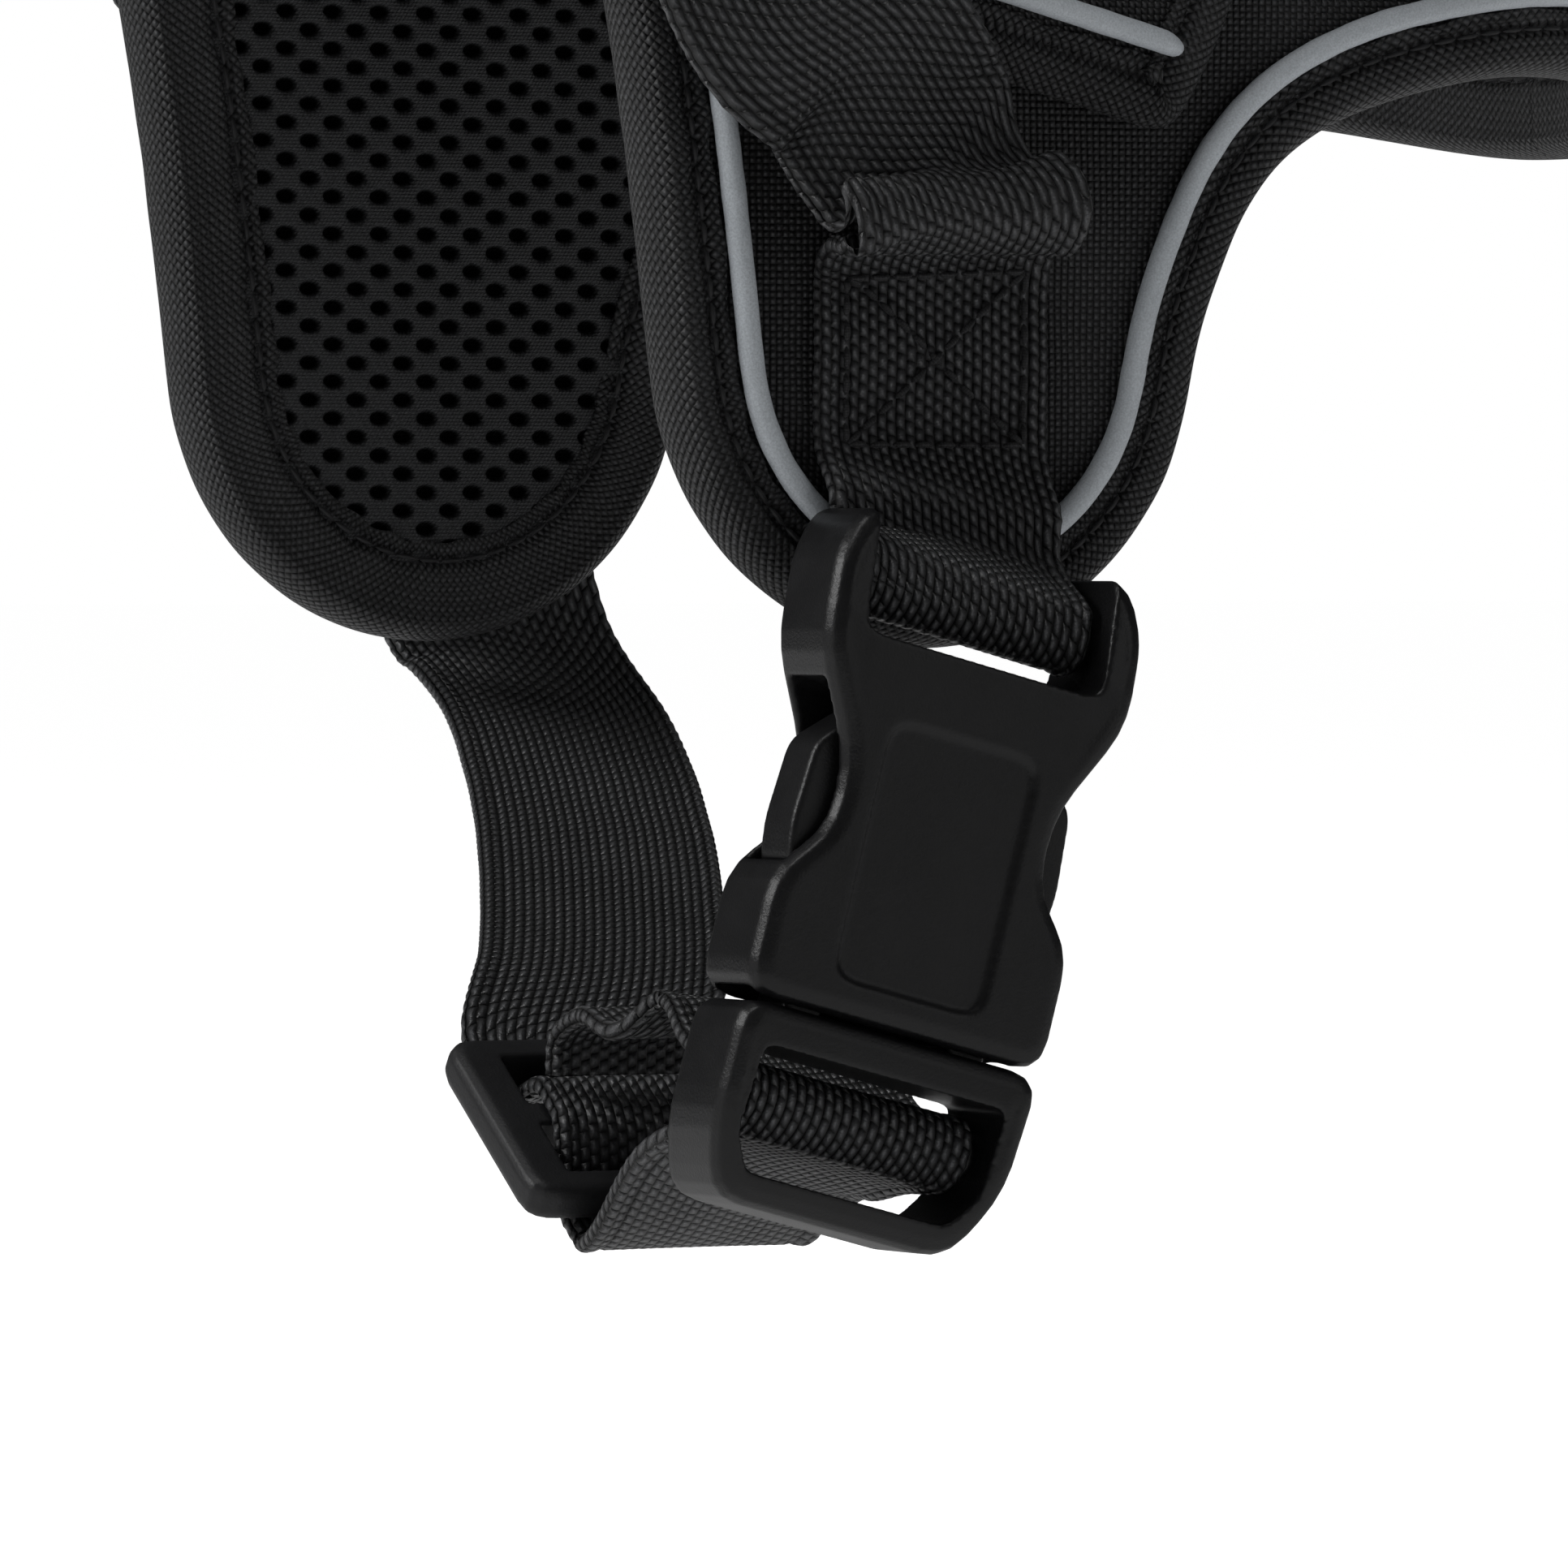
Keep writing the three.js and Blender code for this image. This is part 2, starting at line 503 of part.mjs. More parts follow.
// Places round the bend from the spine to a flank, as shares of that distance.
const overBack = [0.24, 0.48, 0.72, 0.86, 1];
const nearStrapRoute = [
  ...wrap(FEMALE_BAR, 0, -Math.PI, 8),
  inBuckle(-0.2, FEMALE_BAR[0] - wrapRadius, FEMALE_BAR[1] + 2.4),
  onFlank(0, boxBottomDrop + 4, overLobePiping + 1), onFlank(0, boxBottomDrop, overLobePiping),
  onFlank(0, boxBottomDrop - 5, webN), onFlank(0, boxTopDrop + 8, webN),
  onFlank(0, boxTopDrop, webN + 0.2),
  onFlank(-0.5, boxTopDrop - 3.5, webN + 4), onFlank(-2, boxTopDrop - 6, webN + 6.6),
  onFlank(-5.5, boxTopDrop - 12, strapN + 2.2), onFlank(-11, boxTopDrop - 20, overPiping),
  onFlank(-17.5, 79, overPiping), onFlank(-24, 66, overPiping), onFlank(-28.5, 50, strapN),
  ...overBack.map((share) => drape(LOAD_STRAP_X, -flankStart * share, strapN)).reverse(),
  drape(LOAD_STRAP_X, -join, strapN),
];
const chain = (points, steps) => smooth(points.map((p) => p.toArray()), steps);
const blendAcross = (share) => {
  const t = THREE.MathUtils.smoothstep(share, 0.06, 0.16);
  return buckleAcross.clone().lerp(new THREE.Vector3(1, 0, 0), t);
};
add('near_strap', ribbon(chain(nearStrapRoute, 84), blendAcross), webbing);

const alongX = () => new THREE.Vector3(1, 0, 0);
const farPatchX = 5;
const farStrapRoute = [
  drape(LOAD_STRAP_X, join, strapN),
  ...overBack.map((share) => drape(LOAD_STRAP_X, flankStart * share, strapN)),
  drape(-27, along(52), strapN), drape(-18, along(67), overPiping), drape(-6, along(79), overPiping),
  drape(4, along(89), strapN + 0.6), drape(10, along(boxTopDrop - 6), webN + 2),
  drape(farPatchX, along(boxTopDrop + 2), webN + 0.5),
  drape(farPatchX, along(boxTopDrop + 10), webN + 0.4), drape(farPatchX, along(boxTopDrop + 16), webN + 1.6),
  drape(farPatchX, along(boxBottomDrop), overLobePiping),
];
add('far_strap', ribbon(chain(farStrapRoute, 36), alongX), webbing);

// The slider lies on the girth strap; t runs along the webbing towards the buckle, w is its upper side.
const sliderTurn = THREE.MathUtils.degToRad(SLIDER_TILT);
const onSlider = (t, w, x = 0) => new THREE.Vector3(
  SLIDER_CENTRE[0] + x,
  SLIDER_CENTRE[1] - t * Math.cos(sliderTurn) - w * Math.sin(sliderTurn),
  SLIDER_CENTRE[2] - t * Math.sin(sliderTurn) + w * Math.cos(sliderTurn));
const weave = SLIDER_SIZE[2] / 2 + WEB_THICKNESS / 2 + 0.4;
const slotIn = SLIDER_BAR / 2 + 1.1;
const slotOut = SLIDER_SIZE[1] / 2 - SLIDER_BAR - 0.8;
const sliderEnd = SLIDER_SIZE[1] / 2 + 1;
// Free run from the far lobe to the slider: x, in from the far flank, below the lobes' tips.
const belowLobe = [[10.6, 0, 7], [6.5, 20, 17], [0, 38, 26], [-6.5, 54, 33.4]];
const girthRoute = [
  drape(farPatchX, along(boxBottomDrop) + GAP, overLobePiping),
  drape(farPatchX, along(boxBottomDrop + 5), overLobePiping),
  drape(farPatchX, along(LOBE_DROP), overLobePiping - 0.6),
  ...belowLobe.map(([x, fromFlank, below]) => (
    new THREE.Vector3(x, BODY_HALF_WIDTH - fromFlank, -LOBE_DROP - below))),
  onSlider(-sliderEnd - 2, -weave), onSlider(-sliderEnd, -weave), onSlider(-slotOut, -weave),
  onSlider(-slotIn, weave), onSlider(0, weave + 0.3), onSlider(slotIn, weave), onSlider(slotOut, -weave),
  onSlider(sliderEnd - 2, -weave - 0.4), onSlider(sliderEnd + 1, -weave - 0.4), onSlider(sliderEnd + 6, -weave + 1),
  inBuckle(0, MALE_BAR[0] + 13, MALE_BAR[1] - 4.6), inBuckle(0, MALE_BAR[0] + 7, MALE_BAR[1] - 3.4),
  ...wrap(MALE_BAR, -0.5 * Math.PI, -1.5 * Math.PI, 8),
  inBuckle(0, MALE_BAR[0] + 7, MALE_BAR[1] + 3.2), inBuckle(0, MALE_BAR[0] + 13, MALE_BAR[1] + 5.4),
  inBuckle(0, MALE_BAR[0] + 21, MALE_BAR[1] + 10.5),
  onSlider(7, 17), onSlider(1, 14.5), onSlider(-2.5, 9), onSlider(-1, weave + 2.6),
];
const twistEnds = [SLIDER_CENTRE[1] - SLIDER_SIZE[1] / 2, BUCKLE_TOP[1] + BUCKLE_THICKNESS / 2 + 4];
add('girth_strap', ribbon(chain(girthRoute, 110), (share, centre) => {
  const t = THREE.MathUtils.clamp((twistEnds[0] - centre.y) / (twistEnds[0] - twistEnds[1]), 0, 1);
  return new THREE.Vector3(1, 0, 0).lerp(buckleAcross, t);
}), webbing);

const handleN = saddleTop + GAP + WEB_THICKNESS / 2 + 0.1;
const handleRoute = [
  [-14.5, 0], [-11, 0], [-7, 0.3], [-4, 6], [-2.5, HANDLE_RISE * 0.6], [2, HANDLE_RISE * 0.92], [8, HANDLE_RISE],
  [14, HANDLE_RISE * 0.92], [18.5, HANDLE_RISE * 0.6], [20, 6], [23, 0.3], [27, 0], [30.5, 0],
].map(([x, rise]) => new THREE.Vector3(x, 0, handleN + rise));
add('handle', ribbon(chain(handleRoute, 48), () => new THREE.Vector3(0, 1, 0)), webbing);

// ---- D-ring and its tab ----------------------------------------------------------------------------------
const ringBar = new THREE.Vector3(REAR_X - BINDING_WIDTH - D_RING_WIRE / 2 - 3.4, 0, coverTop + 4.4);
const tabRadius = D_RING_WIRE / 2 + 0.4 + WEB_THICKNESS / 2;
const tabRoute = [
  new THREE.Vector3(LOAD_STRAP_X + 10, 0, strapN + WEB_THICKNESS + GAP),
  new THREE.Vector3(LOAD_STRAP_X - 6, 0, strapN + WEB_THICKNESS + GAP),
  new THREE.Vector3(LOAD_STRAP_X - WEB_WIDTH / 2 - 2, 0, strapN + WEB_THICKNESS + GAP),
  ...spread(Math.PI / 2, 1.5 * Math.PI, 8).map((angle) => new THREE.Vector3(
    ringBar.x + tabRadius * Math.cos(angle), 0, ringBar.z + tabRadius * Math.sin(angle))),
  new THREE.Vector3(ringBar.x + 3, 0, ringBar.z - tabRadius),
];
add('d_ring_tab', ribbon(chain(tabRoute, 40), () => new THREE.Vector3(0, 1, 0), WEB_WIDTH - 1), webbing);

const ringHalf = (D_RING_INNER[0] + D_RING_WIRE) / 2;
const ringDrop = D_RING_INNER[1] + D_RING_WIRE;
const ringPath = [
  ...spread(-ringHalf, ringHalf, 8).map((y) => [y, 0]),
  [ringHalf, -ringDrop + ringHalf],
  ...spread(0, -Math.PI, 14).map((angle) => [
    ringHalf * Math.cos(angle), ringHalf * Math.sin(angle) - ringDrop + ringHalf,
  ]),
].filter(([, z]) => z <= 0).map(([y, z]) => new THREE.Vector3(ringBar.x, y, ringBar.z + z));
const ringRings = ringPath.map((p, i) => {
  const before = ringPath[(i + ringPath.length - 1) % ringPath.length];
  const after = ringPath[(i + 1) % ringPath.length];
  const out = new THREE.Vector3().crossVectors(after.clone().sub(before), new THREE.Vector3(1, 0, 0)).normalize();
  return spread(0, 2 * Math.PI, 8).slice(0, -1).map((angle) => p.clone()
    .addScaledVector(out, D_RING_WIRE / 2 * Math.cos(angle))
    .add(new THREE.Vector3(D_RING_WIRE / 2 * Math.sin(angle), 0, 0)));
});
add('d_ring', loft(ringRings, true), steel);

// ---- side-release buckle -----------------------------------------------------------------------------------
// Its upper end leans back to lie against the lobe, and so does the male's lower end.
function lean(manifold) {
  return manifold.warp((v) => {
    const up = Math.max(0, v[2] - LEAN_START[0]);
    const down = Math.max(0, LEAN_START[1] - v[2]);
    v[1] += LEAN[0] * up * up + LEAN[1] * down * down;
  });
}

function femaleShell() {
  const outline = roundedOutline(mirrored([
    [POST_HALF_WIDTH - 2.2, 0], [POST_HALF_WIDTH, -5], [POST_HALF_WIDTH, -14], [WAIST_HALF_WIDTH, -24],
    [WAIST_HALF_WIDTH, -31], [MOUTH_HALF_WIDTH, -WINDOW_BOTTOM], [MOUTH_HALF_WIDTH, -FEMALE_LENGTH],
  ]), 3.2);
  let shell = plate(outline, BUCKLE_THICKNESS, 1.6);
  const slot = roundedOutline([
    [SLOT_HALF_WIDTH, 6], [SLOT_HALF_WIDTH, -SLOT_DEPTH], [-SLOT_HALF_WIDTH, -SLOT_DEPTH], [-SLOT_HALF_WIDTH, 6],
  ], 2);
  shell = shell.subtract(plate(slot, BUCKLE_THICKNESS + 2));
  const cavityTop = -WINDOW_TOP;
  shell = shell.subtract(block(-CAVITY_HALF_WIDTH, CAVITY_HALF_WIDTH, -CAVITY_HALF_DEPTH, CAVITY_HALF_DEPTH,
    -FEMALE_LENGTH - 1, cavityTop));
  const plateHollow = roundedOutline([[8.2, -19.4], [8.2, -44.6], [-8.2, -44.6], [-8.2, -19.4]], 2.6);
  const hollow = plate(plateHollow, 0.8).translate([0, -BUCKLE_THICKNESS / 2 + 0.1, 0]);
  shell = shell.subtract(hollow);
  const bar = rod(BAR_RADIUS, 2 * SLOT_HALF_WIDTH + 2, 0, FEMALE_BAR[0] - LEAN[0] * (FEMALE_BAR[1] - LEAN_START[0]) ** 2,
    FEMALE_BAR[1]);
  return lean(shell.add(bar));
}

function maleFrame() {
  const top = -(FEMALE_LENGTH + GAP);
  const bottom = top - MALE_LENGTH;
  const outline = roundedOutline([
    [MOUTH_HALF_WIDTH, top], [MOUTH_HALF_WIDTH - 0.4, top - 12], [MOUTH_HALF_WIDTH - 3.6, bottom],
    [3.6 - MOUTH_HALF_WIDTH, bottom], [0.4 - MOUTH_HALF_WIDTH, top - 12], [-MOUTH_HALF_WIDTH, top],
  ], 3);
  let frame = plate(outline, BUCKLE_THICKNESS, 1.6);
  const window = roundedOutline([
    [13.3, top - 4], [13.3, top - 12.6], [11, bottom + 3], [-11, bottom + 3], [-13.3, top - 12.6], [-13.3, top - 4],
  ], 1.2);
  frame = frame.subtract(plate(window, BUCKLE_THICKNESS + 2));
  frame = frame.add(rod(BAR_RADIUS, 28.4, 0, MALE_BAR[0] - LEAN[1] * (LEAN_START[1] - MALE_BAR[1]) ** 2, MALE_BAR[1]));
  const tongue = roundedOutline([[3.6, -23], [4.6, top - 1], [-4.6, top - 1], [-3.6, -23]], 2);
  frame = frame.add(plate(tongue, TONGUE_THICKNESS));
  for (const side of [-1, 1]) {
    const seat = side * 9.5;
    frame = frame.subtract(block(seat - 4.2, seat + 4.2, -ARM_THICKNESS / 2 - GAP, ARM_THICKNESS / 2 + GAP,
      top - 1.6, top + 1));
  }
  return lean(frame);
}

function releaseArm(side) {
  const foot = -(FEMALE_LENGTH + GAP + 1.2);
  const outline = roundedOutline([
    [6.9, foot], [6.6, -40], [8.6, -31], [7.8, -23], [9.4, -18.6], [ARM_TIP_HALF_WIDTH - 0.6, -23],
    [ARM_TIP_HALF_WIDTH, -31], [ARM_TIP_HALF_WIDTH - 0.6, -35.4], [11.2, -36.6], [10.4, -41], [11.2, foot],
  ].map(([x, z]) => [side * x, z]), 1.4);
  const ordered = side > 0 ? outline : outline.reverse();
  return plate(ordered, ARM_THICKNESS, 0.5);
}

add('female_buckle', fromSolid(femaleShell()), plastic, buckle);
add('male_buckle', fromSolid(maleFrame()), plastic, buckle);
add('rear_release_arm', fromSolid(releaseArm(-1)), plastic, buckle);
add('front_release_arm', fromSolid(releaseArm(1)), plastic, buckle);

// ---- tri-glide slider ----------------------------------------------------------------------------------------
function triGlide() {
  const [width, length, thickness] = SLIDER_SIZE;
  const rim = (outer) => roundedOutline(
    [[width / 2, outer], [width / 2, -outer], [-width / 2, -outer], [-width / 2, outer]], 3);
  let frame = plate(rim(length / 2), thickness, 1.1);
  const slotHeight = (length - 3 * SLIDER_BAR) / 2;
  for (const side of [-1, 1]) {
    const middle = side * (SLIDER_BAR + slotHeight) / 2;
    const half = [WEB_WIDTH / 2 + 0.6, slotHeight / 2];
    frame = frame.subtract(block(-half[0], half[0], -thickness, thickness, middle - half[1], middle + half[1]));
  }
  return frame;
}
const slider = add('tri_glide_slider', fromSolid(triGlide()), plastic);
slider.position.set(...SLIDER_CENTRE);
slider.rotation.x = sliderTurn - Math.PI / 2;

export default vest;
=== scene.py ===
"""Looks of the padded safety harness vest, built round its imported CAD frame.

Lengths are in millimetres until a mesh is made, and every mesh is in metres in the frame's own axes:
+X to the head, near side -Y, +Z up. The sizes below repeat those of the CAD. Colours are linear.
"""

import math

import bmesh
import bpy
import numpy as np
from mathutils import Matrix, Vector


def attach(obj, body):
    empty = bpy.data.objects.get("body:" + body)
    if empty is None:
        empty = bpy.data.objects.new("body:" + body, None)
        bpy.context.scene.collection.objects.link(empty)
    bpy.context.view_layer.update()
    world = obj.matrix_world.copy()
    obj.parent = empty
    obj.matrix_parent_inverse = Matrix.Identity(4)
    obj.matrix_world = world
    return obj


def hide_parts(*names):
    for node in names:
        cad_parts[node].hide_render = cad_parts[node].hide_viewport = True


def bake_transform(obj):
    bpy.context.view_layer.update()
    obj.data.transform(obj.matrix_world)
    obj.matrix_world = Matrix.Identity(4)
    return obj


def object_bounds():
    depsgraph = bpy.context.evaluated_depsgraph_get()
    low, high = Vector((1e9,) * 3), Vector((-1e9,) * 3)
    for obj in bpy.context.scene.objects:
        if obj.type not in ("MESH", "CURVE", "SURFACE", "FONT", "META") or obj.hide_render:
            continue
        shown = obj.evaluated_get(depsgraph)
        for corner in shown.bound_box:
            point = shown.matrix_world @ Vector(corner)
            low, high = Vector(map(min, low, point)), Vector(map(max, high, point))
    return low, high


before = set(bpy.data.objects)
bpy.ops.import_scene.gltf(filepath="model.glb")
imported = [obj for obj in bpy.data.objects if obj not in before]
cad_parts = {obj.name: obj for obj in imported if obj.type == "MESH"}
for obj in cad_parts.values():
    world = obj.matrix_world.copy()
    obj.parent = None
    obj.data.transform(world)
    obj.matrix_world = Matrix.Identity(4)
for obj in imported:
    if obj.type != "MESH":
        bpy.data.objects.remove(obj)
cad_box = [list(corner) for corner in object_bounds()]
MM = 0.001

# ---- sizes shared with the CAD --------------------------------------------------------------------
BODY_HALF_WIDTH = 52.0
SHOULDER_RADIUS = 40.0
CHEST_START_X = 50.0
LOBE_DROP = 140.0
LOBE_HALF_WIDTH = 28.5
LOBE_CENTRE_X = 1.5
TIP_RADIUS = 29.0
PAD_THICKNESS = 7.2  # lining, foam and cover together
BINDING_TOP = PAD_THICKNESS + 0.45
SADDLE_TOP = 10.75  # outer face of the saddle above the inner face of the pad
REAR_X = -46.0
NECK_X = 40.0
WEB_WIDTH = 25.0
WEB_THICKNESS = 1.6
PIPING_RADIUS = 1.2
PIPING_INSET = 7.6  # piping centre line from the bound edge
COLUMN = 1.02  # one column of yarn in the webbing
BUCKLE_TOP = np.array([0.3, -71.0, -130.0])
BUCKLE_TILT = math.radians(15)
SLIDER_CENTRE = np.array([-13.5, -27.0, -187.0])
SLIDER_TILT = math.radians(35)
FEMALE_BAR = (1.0, -6.3)
MALE_BAR = (0.6, -57.3)
WRAP_RADIUS = 2.9

FLAT_HALF = BODY_HALF_WIDTH - SHOULDER_RADIUS
FLANK_START = FLAT_HALF + SHOULDER_RADIUS * math.pi / 2
BREAST_X = CHEST_START_X + BODY_HALF_WIDTH * math.pi / 2


def along(drop):
    """Distance from the spine, along the surface, of a flank point this far below the back."""
    return FLANK_START + drop - SHOULDER_RADIUS


PATH_STEP = 0.8
TIP_S = along(LOBE_DROP)
ROUND_S = TIP_S - TIP_RADIUS
ARCH_S = along(83.0)
BAND_TOP_S = along(52.0)

REAR_EDGE = [
    (REAR_X, 0), (REAR_X, 14), (REAR_X + 1, 40), (REAR_X + 7, 80),
    (LOBE_CENTRE_X - LOBE_HALF_WIDTH - 4, ROUND_S - 32), (LOBE_CENTRE_X - LOBE_HALF_WIDTH, ROUND_S),
]
LOBE_FRONT = [
    (LOBE_CENTRE_X + LOBE_HALF_WIDTH, ROUND_S), (LOBE_CENTRE_X + LOBE_HALF_WIDTH + 2.5, ARCH_S + 22),
    (LOBE_CENTRE_X + LOBE_HALF_WIDTH + 5.5, ARCH_S + 14.5),
    (LOBE_CENTRE_X + LOBE_HALF_WIDTH + 9.5, ARCH_S + 9.5),
]
ARCH_EDGE = [
    (45, ARCH_S + 6), (54, ARCH_S + 2.7), (68, ARCH_S), (90, ARCH_S + 1.6), (BREAST_X - 12, ARCH_S + 7),
    (BREAST_X, ARCH_S + 7),
]
NECK_EDGE = [(NECK_X, 0), (NECK_X + 3, 40), (CHEST_START_X, FLANK_START + 2)]
BAND_TOP = [
    (CHEST_START_X + 8, BAND_TOP_S - 2), (CHEST_START_X + 20, BAND_TOP_S), (BREAST_X - 12, BAND_TOP_S + 6),
    (BREAST_X, BAND_TOP_S + 6),
]


def drape(x, s, n):
    """Places flat-pattern points (x along the dog, s from the spine, n outwards) on the worn vest."""
    x, s, n = np.broadcast_arrays(np.asarray(x, float), np.asarray(s, float), np.asarray(n, float))
    side, a = np.where(s < 0, -1.0, 1.0), np.abs(s)
    bend = (np.clip(a, FLAT_HALF, FLANK_START) - FLAT_HALF) / SHOULDER_RADIUS
    y = np.where(a <= FLAT_HALF, a, FLAT_HALF + (SHOULDER_RADIUS + n) * np.sin(bend))
    z = np.where(a <= FLAT_HALF, n, (SHOULDER_RADIUS + n) * np.cos(bend) - SHOULDER_RADIUS)
    past = np.maximum(0, x - (2 * BREAST_X - CHEST_START_X))
    turn = np.maximum(0, x - past - CHEST_START_X) / BODY_HALF_WIDTH
    r = BODY_HALF_WIDTH + n
    flank = a > FLANK_START
    y = np.where(flank, r * np.cos(turn), y)
    z = np.where(flank, FLANK_START - SHOULDER_RADIUS - a, z)
    forward = np.where(flank, np.minimum(x, CHEST_START_X) - past + r * np.sin(turn), x)
    return np.stack([forward, side * y, z], axis=-1)


# ---- curves -----------------------------------------------------------------------------------------
def unit(v):
    return v / np.maximum(np.linalg.norm(v, axis=-1, keepdims=True), 1e-12)


def spline(points, step):
    """Even points along a centripetal Catmull-Rom curve through the given ones."""
    p = np.asarray(points, float)
    p = np.vstack([2 * p[0] - p[1], p, 2 * p[-1] - p[-2]])
    spans = np.maximum(np.linalg.norm(np.diff(p, axis=0), axis=1), 1e-6)
    knots = np.concatenate([[0], np.cumsum(spans ** 0.5)])
    dense = []
    for i in range(1, len(p) - 2):
        t0, t1, t2, t3 = knots[i - 1:i + 3]
        t = np.linspace(t1, t2, 24, endpoint=False)[:, None]
        a1 = (t1 - t) / (t1 - t0) * p[i - 1] + (t - t0) / (t1 - t0) * p[i]
        a2 = (t2 - t) / (t2 - t1) * p[i] + (t - t1) / (t2 - t1) * p[i + 1]
        a3 = (t3 - t) / (t3 - t2) * p[i + 1] + (t - t2) / (t3 - t2) * p[i + 2]
        b1 = (t2 - t) / (t2 - t0) * a1 + (t - t0) / (t2 - t0) * a2
        b2 = (t3 - t) / (t3 - t1) * a2 + (t - t1) / (t3 - t1) * a3
        dense.append((t2 - t) / (t2 - t1) * b1 + (t - t1) / (t2 - t1) * b2)
    return even(np.vstack(dense + [p[-2][None]]), step)


def even(points, step):
    """Even points along a polyline."""
    length = np.concatenate([[0], np.cumsum(np.linalg.norm(np.diff(points, axis=0), axis=1))])
    wanted = np.linspace(0, length[-1], max(2, int(round(length[-1] / step)) + 1))
    return np.stack([np.interp(wanted, length, points[:, k]) for k in range(points.shape[1])], axis=1)


def soften(points, rounds=3):
    """Cuts a polyline's corners, keeping its ends."""
    p = np.asarray(points, float)
    for _ in range(rounds):
        near, far = 0.75 * p[:-1] + 0.25 * p[1:], 0.25 * p[:-1] + 0.75 * p[1:]
        p = np.vstack([p[:1], np.stack([near, far], 1).reshape(-1, p.shape[1]), p[-1:]])
    return p


def noise(*coordinates, seed=0):
    """A smooth repeatable ripple between about -1 and 1."""
    total = 0
    for k in range(5):
        phase = 1.7 * k + 0.9 * seed
        total = total + math.cos(k + seed) * np.sin(
            sum(c * (0.7 + 0.31 * ((k * 7 + i * 3 + seed) % 5)) for i, c in enumerate(coordinates)) + phase)
    return total / 3


# ---- meshes -----------------------------------------------------------------------------------------
def make_object(name, points, faces, uvs, material):
    """A smooth mesh from points in millimetres, its faces, and a flat-pattern coordinate for each point."""
    mesh = bpy.data.meshes.new(name)
    mesh.from_pydata((np.asarray(points) * MM).tolist(), [], faces)
    layer = mesh.uv_layers.new(name="Cloth")
    index = np.empty(len(mesh.loops), dtype=np.int32)
    mesh.loops.foreach_get("vertex_index", index)
    layer.data.foreach_set("uv", (np.asarray(uvs)[index] * MM).ravel())
    work = bmesh.new()
    work.from_mesh(mesh)
    bmesh.ops.recalc_face_normals(work, faces=work.faces)
    work.to_mesh(mesh)
    work.free()
    mesh.polygons.foreach_set("use_smooth", [True] * len(mesh.polygons))
    mesh.materials.append(material)
    obj = bpy.data.objects.new(name, mesh)
    bpy.context.scene.collection.objects.link(obj)
    return obj


def grid_quads(rows, cols, start=0, wrap=False):
    """Faces of a grid of points; wrap joins its last column to its first."""
    j, i = np.meshgrid(np.arange(rows - 1), np.arange(cols if wrap else cols - 1), indexing="ij")
    right = (i + 1) % cols
    this, following = j * cols, (j + 1) * cols
    corners = [this + i, this + right, following + right, following + i]
    return start + np.stack(corners, -1).reshape(-1, 4)


def shell(name, upper, lower, uvs, material):
    """A closed sheet between two grids of points."""
    rows, cols = upper.shape[:2]
    count = rows * cols
    at = np.arange(count).reshape(rows, cols)
    rim = np.concatenate([at[0, :-1], at[:-1, -1], at[-1, :0:-1], at[:0:-1, 0]])
    following = np.roll(rim, -1)
    sides = np.stack([rim, following, following + count, rim + count], -1)
    quads = np.vstack([grid_quads(rows, cols), grid_quads(rows, cols, count), sides])
    points = np.vstack([upper.reshape(-1, 3), lower.reshape(-1, 3)])
    flat = uvs.reshape(-1, 2)
    return make_object(name, points, quads.tolist(), np.vstack([flat, flat]), material)


def tube(name, rings, uvs, material):
    """A closed tube through rings of points; its ends are capped by a middle point."""
    rows, cols = rings.shape[:2]
    points = np.vstack([rings.reshape(-1, 3), rings[0].mean(0)[None], rings[-1].mean(0)[None]])
    quads = grid_quads(rows, cols, wrap=True).tolist()
    middle = rows * cols
    for i in range(cols):
        j = (i + 1) % cols
        quads.append([middle, j, i])
        quads.append([middle + 1, (rows - 1) * cols + i, (rows - 1) * cols + j])
    flat = np.vstack([uvs.reshape(-1, 2), uvs[0].mean(0)[None], uvs[-1].mean(0)[None]])
    return make_object(name, points, quads, flat, material)


def place(obj, body, slot, *nodes, blend=None):
    """Parents a piece to the body that it moves with, or given blend only bakes its transform, and hides the CAD
    nodes that it stands for; slot is not used.
    """
    if blend:
        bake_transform(obj)
    else:
        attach(obj, body)
    if nodes:
        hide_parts(*nodes)


